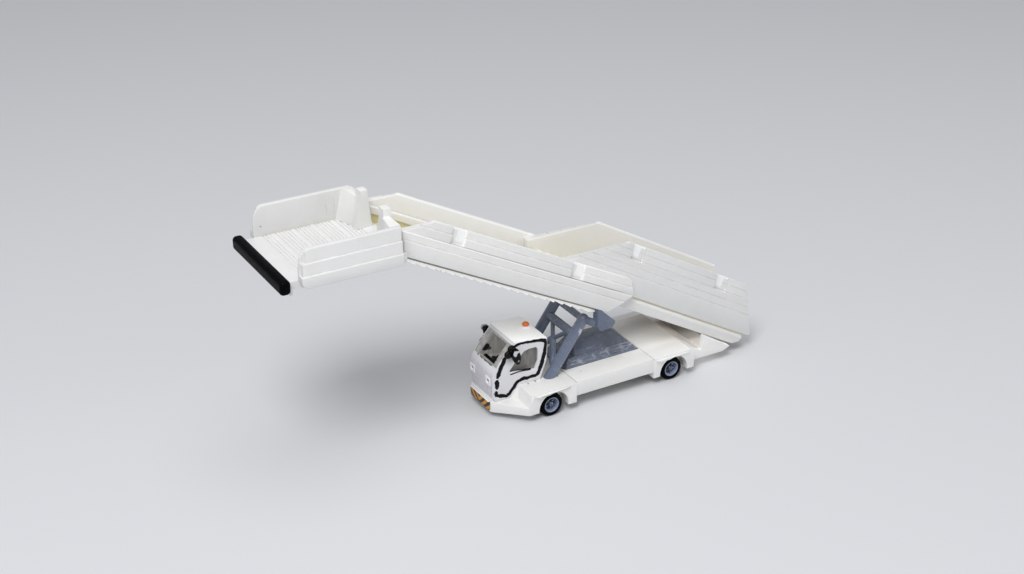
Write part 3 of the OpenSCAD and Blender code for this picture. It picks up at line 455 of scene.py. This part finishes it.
def wall_paint():
    paint = white_paint("platform_wall_white", (0.73, 0.73, 0.724))
    paint.creases(0.0, WALL_TOP, (1.55, 2.95), WALL_SHEET, 0.06)
    paint.spot((30.63, -6.1, 27.42), 0.11, GRIME, 0.8)
    foot = paint.z.ramp(26.75, 26.3) * paint.out.less(6.3)
    paint.tint(foot * paint.noise(0.7, 3.0) * 0.5, (0.62, 0.58, 0.48))
    far_inside = paint.y.between(-6.2, 0.0) * paint.z.between(26.95, 28.85)
    for x in (22.7, 21.75):
        drawn = abs(paint.x - x + (paint.noise(0.35, 2.0) - 0.5) * 0.5).less(0.035)
        patchy = paint.noise(0.3, 2.0).ramp(0.42, 0.5) * 0.55
        paint.tint(drawn * far_inside * patchy, (0.45, 0.42, 0.36))
    return paint


def floor_paint():
    paint = white_paint("platform_floor_white", (0.735, 0.735, 0.73))
    paint.tint(paint.z.between(26.05, 26.2) * paint.out.less(6.08) * 0.12, (0.60, 0.57, 0.50))
    return paint


def resin_paint():
    paint = white_paint("bare_resin", (0.74, 0.72, 0.62))
    paint.tint(paint.x.ramp(11.5, 16.5) * (paint.noise(1.2, 3.0) * 0.5 + 0.6), (0.60, 0.55, 0.26))
    # painted light: a glow on the higher steps, stronger towards their edges
    edge = paint.z.ramp(8.0, 9.0) * (paint.out.ramp(3.4, 4.2) + 0.6)
    paint.glow(edge, (0.16, 0.158, 0.145))
    return paint


def plate_paint():
    """Black and amber chevrons, with a white edge."""
    paint = plain("warning_stripes", (0.62, 0.26, 0.012), 0.4, coat=0.1, gloss=0.35)
    wobble = (paint.noise(0.5, 2.0) - 0.5) * 0.22
    stripe = (paint.z - paint.out * 0.87 - 1.5 + wobble + 0.255).wrap(1.02)
    paint.tint(stripe.more(0.52), DARK)
    paint.tint((paint.z.more(2.13) + paint.y.less(-2.15)).least(1.0), (0.74, 0.73, 0.74))
    return paint


def hood_paint():
    paint = grey_blue("hood_grey_blue", (0.115, 0.135, 0.19), (0.145, 0.17, 0.23))
    band = paint.z.between(3.8, 5.3)
    scribble = abs(paint.noise(0.75, 2.0, (0.45, 1, 1.3)) - 0.5).ramp(0.025, 0.01)
    paint.tint(band * scribble * paint.noise(1.6, 2.0).ramp(0.5, 0.58) * 0.5, (0.44, 0.47, 0.55))
    return paint


def seat_paint():
    paint = plain("seat_grey", (0.36, 0.345, 0.32), 0.5)
    # painted light: a patchy glow on the seat
    paint.glow(paint.noise(0.6, 2.0), (0.12, 0.116, 0.11))
    return paint


def tube_paint():
    paint = grey_blue("tube_grey_blue")
    # painted highlight: white scribbles on the near tube's head
    near = paint.distance((-5.3, 3.0, 8.95), (1, 0.6, 0.7)).ramp(0.62, 0.4)
    scribble = abs(paint.noise(0.35, 2.0, (1, 1, 0.5)) - 0.5).ramp(0.07, 0.03)
    paint.tint(near * scribble, (0.80, 0.82, 0.86))
    return paint


def wheel_paint():
    """Painted shade in dark dished middles, with painted highlights on a lighter rim and in lighter lumps."""
    paint = grey_blue("wheel_paint", (0.035, 0.045, 0.075), (0.06, 0.075, 0.115))
    ahead = abs(paint.x).least(abs(paint.x + WHEELBASE))
    high = paint.z - TYRE_R
    radius = (ahead * ahead + high * high).maths("POWER", 0.5)
    paint.tint(radius.ramp(0.70, 0.82) * 0.85, (0.26, 0.32, 0.46))
    lumps = paint.noise(0.45, 2.0).ramp(0.5, 0.6) * paint.out.ramp(5.28, 5.45)
    paint.tint(lumps * 0.8, (0.20, 0.245, 0.36))
    return paint


def headlight_paint():
    paint = plain("headlight_white", (0.90, 0.90, 0.92), 0.3, coat=0.3)
    x, y, z = HEADLIGHT_PLACE
    for side in (1, -1):
        paint.spot((x, y * side, z), 0.30, (0.03, 0.03, 0.035), 0.95, (0.3, 1, 1.5))
    return paint


MATERIALS = {
    "white_paint": white_paint("white_paint").done(),
    "bare_resin": resin_paint().done(),
    "grey_blue_paint": grey_blue("grey_blue_paint").done(),
    "wheel_paint": wheel_paint().done(),
    "tyre_black": plain("tyre_black", (0.0015, 0.0015, 0.002), 0.42, gloss=0.035, grain=0.02).done(),
    "black_paint": plain("black_paint", (0.003, 0.003, 0.0035), 0.36, coat=0.05, gloss=0.12).done(),
    "bumper_black": plain("bumper_black", (0.0016, 0.0016, 0.0022), 0.42, gloss=0.035).done(),
    "silver_paint": plain("silver_paint", (0.62, 0.63, 0.67), 0.3, coat=0.4).done(),
    "pearl_paint": plain("pearl_paint", (0.625, 0.605, 0.65), 0.35, coat=0.4).done(),
    "beacon_orange": plain("beacon_orange", (0.85, 0.19, 0.012), 0.3, coat=0.5).done(),
    "warning_stripes": plate_paint().done(),
    "axle_steel": plain("axle_steel", (0.4, 0.4, 0.42), 0.35, metallic=0.8).done(),
}
chassis_white = chassis_paint().done()
cab_white = interior_tint(cab_paint()).done()
# materials of nodes that don't take their slot's plain one
SPECIAL = {
    "chassis_body": chassis_white,
    "tail_cradle": chassis_white,
    "cab_shell": cab_white,
    "door": cab_white,
    "door_seal": cab_white,
    "beacon_base": cab_white,
    "upper_panel": upper_paint().done(),
    "lower_panel": lower_paint().done(),
    "lower_rail": rail_paint().done(),
    "upper_stringer": stringer_paint().done(),
    "platform_wall": wall_paint().done(),
    "platform_floor": floor_paint().done(),
    "hood": hood_paint().done(),
    "headlight": headlight_paint().done(),
    "seat": seat_paint().done(),
    "lift_tube": tube_paint().done(),
    "shoe": grey_blue("shoe_grey_blue", (0.092, 0.118, 0.178), (0.115, 0.142, 0.21)).done(),
}
SLOT_OF = {p["node"]: p["material_slot"] for p in frame["record"]["subparts"]}
BODY_OF = {n: b for b, ns in frame["record"]["behaviour"]["bodies"].items() for n in ns}


# Modelling
def only(obj):
    bpy.ops.object.select_all(action="DESELECT")
    obj.select_set(True)
    bpy.context.view_layer.objects.active = obj


def in_edit(obj):
    only(obj)
    bpy.ops.object.mode_set(mode="EDIT")
    bpy.ops.mesh.select_mode(type="VERT")
    bpy.ops.mesh.select_all(action="SELECT")


def out_of_edit():
    bpy.ops.object.mode_set(mode="OBJECT")


def modify(obj, kind, **settings):
    only(obj)
    made = obj.modifiers.new(kind.lower(), kind)
    for name, value in settings.items():
        setattr(made, name, value)
    bpy.ops.object.modifier_apply(modifier=made.name)


def rounded(obj, width, segments=3, angle=32):
    modify(obj, "BEVEL", width=width, segments=segments, limit_method="ANGLE",
           angle_limit=math.radians(angle), use_clamp_overlap=True, miter_outer="MITER_ARC", loop_slide=True)


def smooth(obj, angle=30):
    only(obj)
    bpy.ops.object.shade_smooth_by_angle(angle=math.radians(angle))


def cad_copy(node):
    """A copy of a CAD node's mesh in millimetres, with its doubled vertices merged."""
    mesh = frame["nodes"][node].data.copy()
    mesh.transform(Matrix.Translation((MIDDLE_X, 0, 0)) @ Matrix.Scale(1 / MM, 4))
    mesh.materials.clear()
    obj = bpy.data.objects.new(node + "_finished", mesh)
    bpy.context.scene.collection.objects.link(obj)
    in_edit(obj)
    bpy.ops.mesh.customdata_custom_splitnormals_clear()
    bpy.ops.mesh.remove_doubles(threshold=0.002)
    bpy.ops.mesh.normals_make_consistent(inside=False)
    bpy.ops.mesh.dissolve_limited(angle_limit=math.radians(0.6))
    out_of_edit()
    return obj


def finish(obj, material):
    """Turns a piece into metres at the part's origin and gives it its material."""
    obj.data.transform(Matrix.Scale(MM, 4) @ Matrix.Translation((-MIDDLE_X, 0, 0)))
    obj.data.materials.clear()
    obj.data.materials.append(material)


def settle(obj, node):
    """Finishes a piece that stands for a CAD node, with the node's body and slot."""
    finish(obj, paint_of(node))
    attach(obj, BODY_OF[node])
    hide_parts(node)


def family(node):
    """A node's name without its side: door_l gives door."""
    return re.sub("_(l|r|fl|fr|rl|rr)$", "", node)


def paint_of(node):
    return SPECIAL.get(family(node), MATERIALS[SLOT_OF[node]])


def smoothed(path, rounds=2):
    """A path with its corners cut, as a list of points."""
    points = [Vector(p) for p in path]
    for _ in range(rounds):
        cut = [points[0]]
        for a, b in zip(points, points[1:]):
            cut += [a.lerp(b, 0.25), a.lerp(b, 0.75)]
        points = cut + [points[-1]]
    return points


def along(points, t):
    """The point and the direction at the share t of a path's length."""
    lengths = [(b - a).length for a, b in zip(points, points[1:])]
    left = t * sum(lengths)
    for a, b, length in zip(points, points[1:], lengths):
        if left <= length or b is points[-1]:
            return a.lerp(b, min(left / length, 1.0)), (b - a).normalized()
        left -= length


def at_x(table, x):
    """The value a table of (x, value) pairs gives at x."""
    for (x0, v0), (x1, v1) in zip(table, table[1:]):
        if x <= x1:
            return v0 + (v1 - v0) * max(0.0, x - x0) / (x1 - x0)
    return table[-1][1]


def stroke(name, path, width, surface, seed, thick=0.05, ragged=0.42):
    """A brush stroke along a path in x and z, laid on the surface y = surface(x)."""
    points = smoothed(path)
    length = sum((b - a).length for a, b in zip(points, points[1:]))
    count = max(6, int(length / 0.09))
    bpy.ops.object.select_all(action="DESELECT")
    bpy.ops.mesh.primitive_grid_add(x_subdivisions=count, y_subdivisions=4, size=2)
    obj = bpy.context.object
    obj.name = name
    for vertex in obj.data.vertices:
        t, across = (vertex.co.x + 1) / 2, vertex.co.y
        middle, way = along(points, t)
        end = min(1.0, min(t, 1 - t) * length / (width * 0.7))
        rough = noise.noise(Vector((t * length * 2.6, across * 1.5, seed))) * ragged
        rough += noise.noise(Vector((t * length * 7.0, across * 3.0, seed + 9.0))) * ragged * 0.5
        half = width / 2 * (0.35 + 0.65 * math.sqrt(end)) * (1 + rough)
        place = middle + Vector((-way.y, way.x)) * across * half
        rise = thick * (1 - across ** 2 * 0.9) * min(1.0, end * 2)
        vertex.co = (place.x, surface(place.x) + rise, place.y)
    modify(obj, "SOLIDIFY", thickness=0.08, offset=-1.0 if obj.data.polygons[0].normal.y > 0 else 1.0)
    smooth(obj, 60)
    return obj


def lathe(name, section, centre, axis, steps=64):
    """A closed section of (radius, height) points spun round an axis through the centre."""
    bpy.ops.object.select_all(action="DESELECT")
    bpy.ops.mesh.primitive_circle_add(vertices=len(section), radius=1)
    obj = bpy.context.object
    obj.name = name
    along_axis = Vector(axis)
    outward = Vector((1, 0, 0))
    for vertex, (radius, height) in zip(obj.data.vertices, section):
        vertex.co = Vector(centre) + outward * radius + along_axis * height
    in_edit(obj)
    bpy.ops.mesh.spin(steps=steps, angle=2 * math.pi, center=centre, axis=axis)
    bpy.ops.mesh.select_all(action="SELECT")
    bpy.ops.mesh.remove_doubles(threshold=0.001)
    bpy.ops.mesh.dissolve_degenerate(threshold=0.0005)
    bpy.ops.mesh.select_all(action="SELECT")
    bpy.ops.mesh.normals_make_consistent(inside=False)
    out_of_edit()
    return obj


def grown(centre, scale, moved_to=None):
    """A matrix that scales a piece round a point, which may move as well."""
    back = Matrix.Translation(-Vector(centre))
    return Matrix.Translation(moved_to or centre) @ Matrix.Diagonal((*scale, 1)) @ back


def joined(*objs):
    only(objs[0])
    for obj in objs[1:]:
        obj.select_set(True)
    bpy.ops.object.join()
    return objs[0]


def copied(obj, name, matrix=None):
    """A copy with its own mesh; a mirrored one gets its normals back."""
    twin = obj.copy()
    twin.data = obj.data.copy()
    twin.name = name
    bpy.context.scene.collection.objects.link(twin)
    if matrix is not None:
        twin.data.transform(matrix)
        if matrix.determinant() < 0:
            in_edit(twin)
            bpy.ops.mesh.normals_make_consistent(inside=False)
            out_of_edit()
    return twin


def lump(name, centre, size, seed=0, ragged=0.0):
    """A rounded lump, flattened and roughened."""
    bpy.ops.object.select_all(action="DESELECT")
    bpy.ops.mesh.primitive_uv_sphere_add(segments=16, ring_count=10, radius=1)
    obj = bpy.context.object
    obj.name = name
    obj.data.transform(Matrix.Diagonal((*size, 1)))
    obj.data.transform(Matrix.Translation(centre))
    if ragged:
        in_edit(obj)
        bpy.ops.transform.vertex_random(offset=ragged, seed=seed, normal=0.4)
        out_of_edit()
    smooth(obj, 75)
    return obj


FLIP_Y = Matrix.Diagonal((1, -1, 1, 1))

# Wheels, modelled once at the front left, as (distance from the axle, distance out from the tyre's middle)
TYRE_SECTION = (
    (0.99, -0.40), (1.00, -0.50), (1.06, -0.535), (1.16, -0.55), (1.28, -0.548), (1.37, -0.52), (1.43, -0.46),
    (1.475, -0.38), (1.497, -0.28), (1.50, -0.16), (1.46, -0.135), (1.46, -0.085), (1.50, -0.06),
    (1.50, 0.06), (1.46, 0.085), (1.46, 0.135), (1.50, 0.16), (1.497, 0.28), (1.475, 0.38), (1.43, 0.46),
    (1.37, 0.52), (1.33, 0.535), (1.31, 0.525), (1.28, 0.548), (1.16, 0.55), (1.06, 0.535), (1.00, 0.50),
    (0.99, 0.40),
)
HUB_SECTION = (
    (0.0, -0.50), (0.90, -0.50), (1.0, -0.46), (1.0, 0.44), (0.985, 0.485), (0.95, 0.50), (0.90, 0.497),
    (0.865, 0.46), (0.85, 0.36), (0.825, 0.16), (0.77, 0.02), (0.64, -0.05), (0.48, -0.04), (0.37, 0.04),
    (0.33, 0.17), (0.30, 0.31), (0.24, 0.37), (0.14, 0.39), (0.0, 0.395),
)
ACROSS = (0, 1, 0)


def wheel_hub():
    centre = Vector((0, TYRE_MIDDLE, TYRE_R))
    hub = lathe("hub_dish", HUB_SECTION, centre, ACROSS)
    spoke = lump("spoke", (0.57, 0.05, 0), (0.30, 0.20, 0.13))
    bolt = lump("bolt", (0.56, -0.03, 0), (0.08, 0.11, 0.08))
    pieces = [hub]
    for i in range(5):
        for part, turn in ((spoke, 0.0), (bolt, 0.5)):
            angle = math.radians(20) + (i + turn) * math.tau / 5
            place = Matrix.Translation(centre) @ Matrix.Rotation(angle, 4, "Y")
            pieces.append(copied(part, part.name + str(i), place))
    for part in (spoke, bolt):
        bpy.data.objects.remove(part)
    hub = joined(*pieces)
    smooth(hub, 50)
    return hub


def add_wheels():
    tyre = lathe("tyre", TYRE_SECTION, (0, TYRE_MIDDLE, TYRE_R), ACROSS, 72)
    smooth(tyre, 40)
    hub = wheel_hub()
    for end, x in (("f", 0.0), ("r", -WHEELBASE)):
        for side, flip in (("l", Matrix()), ("r", FLIP_Y)):
            place = Matrix.Translation((x, 0, 0)) @ flip
            settle(copied(tyre, "tyre_" + end + side + "_finished", place), "tyre_" + end + side)
            settle(copied(hub, "hub_" + end + side + "_finished", place), "hub_" + end + side)
    for part in (tyre, hub):
        bpy.data.objects.remove(part)


BEACON_SECTION = (
    (0.0, 0.0), (0.42, 0.0), (0.43, 0.03), (0.43, 0.10), (0.42, 0.17), (0.39, 0.25), (0.33, 0.32),
    (0.24, 0.38), (0.12, 0.415), (0.0, 0.43),
)


def add_beacon():
    beacon = lathe("beacon_finished", BEACON_SECTION, BEACON_PLACE, (0, 0, 1), 40)
    in_edit(beacon)
    bpy.ops.transform.vertex_random(offset=0.012, seed=4)
    out_of_edit()
    smooth(beacon, 50)
    settle(beacon, "beacon")


# Brush strokes of the door seal, as width and points in x and z
SEAL_STROKES = (
    (0.60, ((4.3, 8.3), (4.72, 7.8), (5.05, 7.31), (5.4, 6.45), (5.72, 5.7), (5.82, 5.3))),
    (0.62, ((5.84, 5.16), (5.88, 4.8), (5.87, 4.02), (5.95, 3.86))),
    (0.58, ((6.02, 3.68), (6.03, 3.4), (5.93, 3.07), (5.62, 2.86))),
    (0.52, ((5.80, 2.98), (5.3, 2.82), (5.0, 2.74), (4.8, 2.66))),
    (0.46, ((5.0, 2.74), (4.55, 2.60), (4.21, 2.79), (3.92, 3.16), (3.46, 3.72), (3.0, 4.22), (2.3, 4.42),
            (1.37, 4.4), (0.44, 4.43))),
    (0.52, ((0.80, 4.40), (0.40, 4.45), (0.15, 4.95), (-0.08, 5.57), (-0.3, 6.42), (-0.53, 7.39),
            (-0.68, 8.14), (-0.70, 8.6), (-0.5, 8.95), (0.0, 9.08))),
    (0.38, ((-0.5, 8.96), (0.12, 9.10), (0.93, 9.16), (1.62, 9.21), (2.31, 9.26), (2.88, 9.28), (3.34, 9.16),
            (3.8, 8.8), (4.15, 8.35))),
)
# strokes along the window's lower edge
WINDOW_STROKES = (
    (0.13, ((4.15, 5.86), (3.4, 5.83), (2.5, 5.72), (1.6, 5.6), (1.25, 5.55))),
    (0.17, ((4.12, 5.42), (3.6, 5.42), (3.1, 5.5), (2.4, 5.52), (1.7, 5.46), (1.3, 5.4))),
)


def cab_side(x):
    return at_x(CAB_HALF, x)


def add_door_paint():
    for group, strokes in (("seal", SEAL_STROKES), ("window", WINDOW_STROKES)):
        made = [stroke(group + str(i), path, width, cab_side, 3.0 + 1.7 * i)
                for i, (width, path) in enumerate(strokes)]
        left = joined(*made)
        right = copied(left, "right", FLIP_Y)
        for obj, side in ((left, "l"), (right, "r")):
            obj.name = group + "_strokes_" + side
            finish(obj, MATERIALS["black_paint"])
            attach(obj, "vehicle")


# grey panes behind the door windows, as points in x and z
PANE = (
    (4.45, 5.75), (3.6, 6.95), (2.95, 7.55), (2.3, 8.28), (1.55, 8.45), (0.5, 8.45), (0.18, 8.0),
    (0.16, 6.3), (0.62, 5.14), (1.5, 5.24),
)
PANE_DEPTH = 0.33


def pane_paint():
    paint = plain("window_grey", (0.10, 0.096, 0.09), 0.4, coat=0.2)
    streak = paint.noise(0.4, 3.0, (1, 1, 0.25)).ramp(0.35, 0.7)
    paint.tint(streak * 0.5, (0.16, 0.155, 0.147))
    # painted shade and light: darker towards the rear edge, lighter on the far pane and towards the bottom
    paint.tint(paint.x.ramp(1.0, 0.3) * 0.6, (0.09, 0.08, 0.075))
    paint.tint(paint.y.less(0.0) * 0.9, (0.22, 0.213, 0.20))
    paint.tint(paint.z.ramp(6.0, 5.5) * 0.5, (0.25, 0.245, 0.235))
    ragged = paint.distance((4.15, -2.6, 6.5), (0.7, 0.3, 1.2)) + paint.noise(0.4, 2.0) * 0.3
    smudge = ragged.ramp(0.55, 0.42)
    paint.tint(smudge, SMUDGE)
    # painted light: a glow on the panes, stronger on the far one
    paint.glow((1 - smudge) * (streak * 0.4 + 0.6) * (paint.y.less(0.0) * 0.65 + 0.35), (0.145, 0.139, 0.13))
    return paint


def add_panes():
    paint = pane_paint().done()
    bpy.ops.object.select_all(action="DESELECT")
    bpy.ops.mesh.primitive_circle_add(vertices=len(PANE), radius=1, fill_type="NGON")
    pane = bpy.context.object
    for vertex, (x, z) in zip(pane.data.vertices, PANE):
        vertex.co = (x, cab_side(x) - PANE_DEPTH, z)
    modify(pane, "SOLIDIFY", thickness=0.1, offset=0.0)
    in_edit(pane)
    bpy.ops.mesh.normals_make_consistent(inside=False)
    out_of_edit()
    rounded(pane, 0.03, 2)
    smooth(pane, 35)
    right = copied(pane, "window_pane_r", FLIP_Y)
    pane.name = "window_pane_l"
    for obj in (pane, right):
        finish(obj, paint)
        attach(obj, "vehicle")


# lumps of black paint on the mirrors, as centre and half-sizes, with the head first
MIRROR_LUMPS = {
    "l": (((3.72, 3.52, 8.25), (0.50, 0.44, 0.86)), ((4.50, 3.24, 8.45), (0.62, 0.34, 0.52)),
          ((4.16, 3.26, 9.08), (0.52, 0.34, 0.50)), ((3.42, 3.52, 7.45), (0.30, 0.28, 0.50))),
    "r": (((3.80, 3.46, 8.48), (0.40, 0.38, 0.54)), ((4.00, 3.08, 8.40), (0.34, 0.30, 0.22))),
}
MIRROR_LEAN = math.radians(13)
# dabs of silver on them
MIRROR_DABS = (((4.02, 3.95, 8.72), (0.24, 0.09, 0.36)), ((3.72, 3.96, 8.90), (0.26, 0.08, 0.13)))


def add_mirrors():
    """Blobs of black paint on the moulded mirrors, with a silver dab each."""
    for side, flip in (("l", Matrix()), ("r", FLIP_Y)):
        (centre, half), *others = MIRROR_LUMPS[side]
        bpy.ops.object.select_all(action="DESELECT")
        bpy.ops.mesh.primitive_cube_add(size=2)
        head = bpy.context.object
        in_edit(head)
        bpy.ops.mesh.bevel(offset=0.55, segments=3, affect="EDGES")
        bpy.ops.mesh.select_all(action="SELECT")
        bpy.ops.mesh.subdivide(number_cuts=1)
        bpy.ops.mesh.select_all(action="SELECT")
        bpy.ops.transform.vertex_random(offset=0.09, seed=7)
        out_of_edit()
        lean = Matrix.Rotation(MIRROR_LEAN, 4, "Y")
        head.data.transform(Matrix.Translation(centre) @ lean @ Matrix.Diagonal((*half, 1)))
        blob = joined(head, *(lump("arm", c, h, 3, 0.08) for c, h in others))
        smooth(blob, 80)
        settle(copied(blob, "mirror_" + side + "_finished", flip), "mirror_" + side)
        dabs = joined(*(lump("dab", c, h, 5, 0.06) for c, h in MIRROR_DABS))
        dab = copied(dabs, "mirror_dab_" + side, flip)
        finish(dab, MATERIALS["silver_paint"])
        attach(dab, "vehicle")
        bpy.data.objects.remove(blob)
        bpy.data.objects.remove(dabs)


def add_bumper():
    """The bumper as a thick rounded bar."""
    old = cad_copy("platform_bumper")
    low, high = (Vector(pick(v.co[i] for v in old.data.vertices) for i in range(3)) for pick in (min, max))
    bpy.data.objects.remove(old)
    bpy.ops.object.select_all(action="DESELECT")
    bpy.ops.mesh.primitive_cube_add(size=1)
    bar = bpy.context.object
    bar.name = "platform_bumper_finished"
    bar.data.transform(Matrix.Translation((low + high) / 2) @ Matrix.Diagonal((*(high - low), 1)))
    rounded(bar, 0.46, 8, 60)
    in_edit(bar)
    bpy.ops.mesh.bisect(plane_co=(0, 0, 0), plane_no=(0, 1, 0))
    out_of_edit()
    smooth(bar, 60)
    settle(bar, "platform_bumper")


def add_steering_wheel():
    """The steering wheel under a lump of black paint."""
    wheel = cad_copy("steering_wheel")
    wheel.data.transform(grown(WHEEL_FROM, WHEEL_GROWTH, WHEEL_TO))
    paint = lump("wheel_paint", (4.85, 1.42, 6.92), (0.42, 0.62, 0.58), 11, 0.12)
    wheel = joined(wheel, paint)
    smooth(wheel, 60)
    settle(wheel, "steering_wheel")


# width of the rounded edges, by CAD node
EDGES = {
    "chassis_body": 0.1, "tail_cradle": 0.1, "cab_shell": 0.09, "door": 0.05, "door_seal": 0.02,
    "lower_panel": 0.06, "upper_panel": 0.08, "lower_rail": 0.08, "upper_stringer": 0.05,
    "lower_steps": 0.06, "upper_steps": 0.06, "platform_floor": 0.03, "platform_wall": 0.12,
    "end_wall": 0.22, "hood": 0.06, "shoe": 0.15, "headlight": 0.05, "front_panel": 0.04,
    "dashboard": 0.1, "seat": 0.12, "base_plate": 0.06, "chevron_plate": 0.05,
}
# nodes whose visible pieces are modelled anew
MODELLED = ("tyre", "hub", "beacon", "mirror", "steering_wheel", "platform_bumper")


def reshape(piece, node):
    """Gives a piece the places where the hand-painted model departs from the plain solids."""
    if node == "hood":
        in_edit(piece)
        bpy.ops.mesh.bisect(plane_co=HOOD_CUT_PLACE, plane_no=HOOD_CUT_NORMAL,
                            use_fill=True, clear_outer=True)
        out_of_edit()
    if node == "beacon_base":
        piece.data.transform(Matrix.Translation(BEACON_BASE_SHIFT))
    if family(node) == "headlight":
        x, y, z = HEADLIGHT_PLACE
        centre = (x, y if node == "headlight_l" else -y, z)
        piece.data.transform(grown(centre, HEADLIGHT_GROWTH))


def add_plain_pieces():
    """The CAD nodes' own shapes, with rounded edges and painted surfaces."""
    for node in frame["nodes"]:
        if family(node) in MODELLED:
            continue
        piece = cad_copy(node)
        reshape(piece, node)
        if family(node) in EDGES:
            rounded(piece, EDGES[family(node)])
        smooth(piece, 35)
        settle(piece, node)


add_plain_pieces()
add_wheels()
add_beacon()
add_mirrors()
add_steering_wheel()
add_bumper()
add_door_paint()
add_panes()


# Floor and light
FLOOR_SIZE = 4000 * MM
FLOOR_COLOUR = (0.62, 0.63, 0.65)
# soft lamps, as place from the part's middle and width in millimetres, and power in watts
LAMPS = {
    "key": ((165, 155, 325), 170, 0.95),
    "top": ((0, 50, 380), 300, 0.36),
    "rear": ((-280, 240, 100), 200, 0.22),
}
LAMP_TARGET = Vector((0, 0, 10)) * MM
STUDIO_COLOUR = (0.66, 0.67, 0.70)
STUDIO_STRENGTH = 0.54


def add_floor():
    bpy.ops.mesh.primitive_plane_add(size=FLOOR_SIZE, location=(0, 0, 0))
    floor = bpy.context.object
    floor.name = "floor"
    floor.data.materials.append(Paint("floor", FLOOR_COLOUR, 0.7).done())


def add_lamp(name, place, width, power):
    data = bpy.data.lights.new(name, "AREA")
    data.shape = "DISK"
    data.size = width * MM
    data.energy = power
    lamp = bpy.data.objects.new(name, data)
    lamp.location = Vector(place) * MM
    lamp.rotation_mode = "QUATERNION"
    lamp.rotation_quaternion = (lamp.location - LAMP_TARGET).to_track_quat("Z", "Y")
    bpy.context.scene.collection.objects.link(lamp)


def add_studio():
    """Plain soft light from all round."""
    world = bpy.data.worlds.new("studio")
    world.use_nodes = True
    background = world.node_tree.nodes["Background"]
    background.inputs["Color"].default_value = (*STUDIO_COLOUR, 1)
    background.inputs["Strength"].default_value = STUDIO_STRENGTH
    bpy.context.scene.world = world


add_floor()
for lamp, facts in LAMPS.items():
    add_lamp(lamp, *facts)
add_studio()
add_camera()
bpy.context.scene.view_settings.view_transform = "Standard"
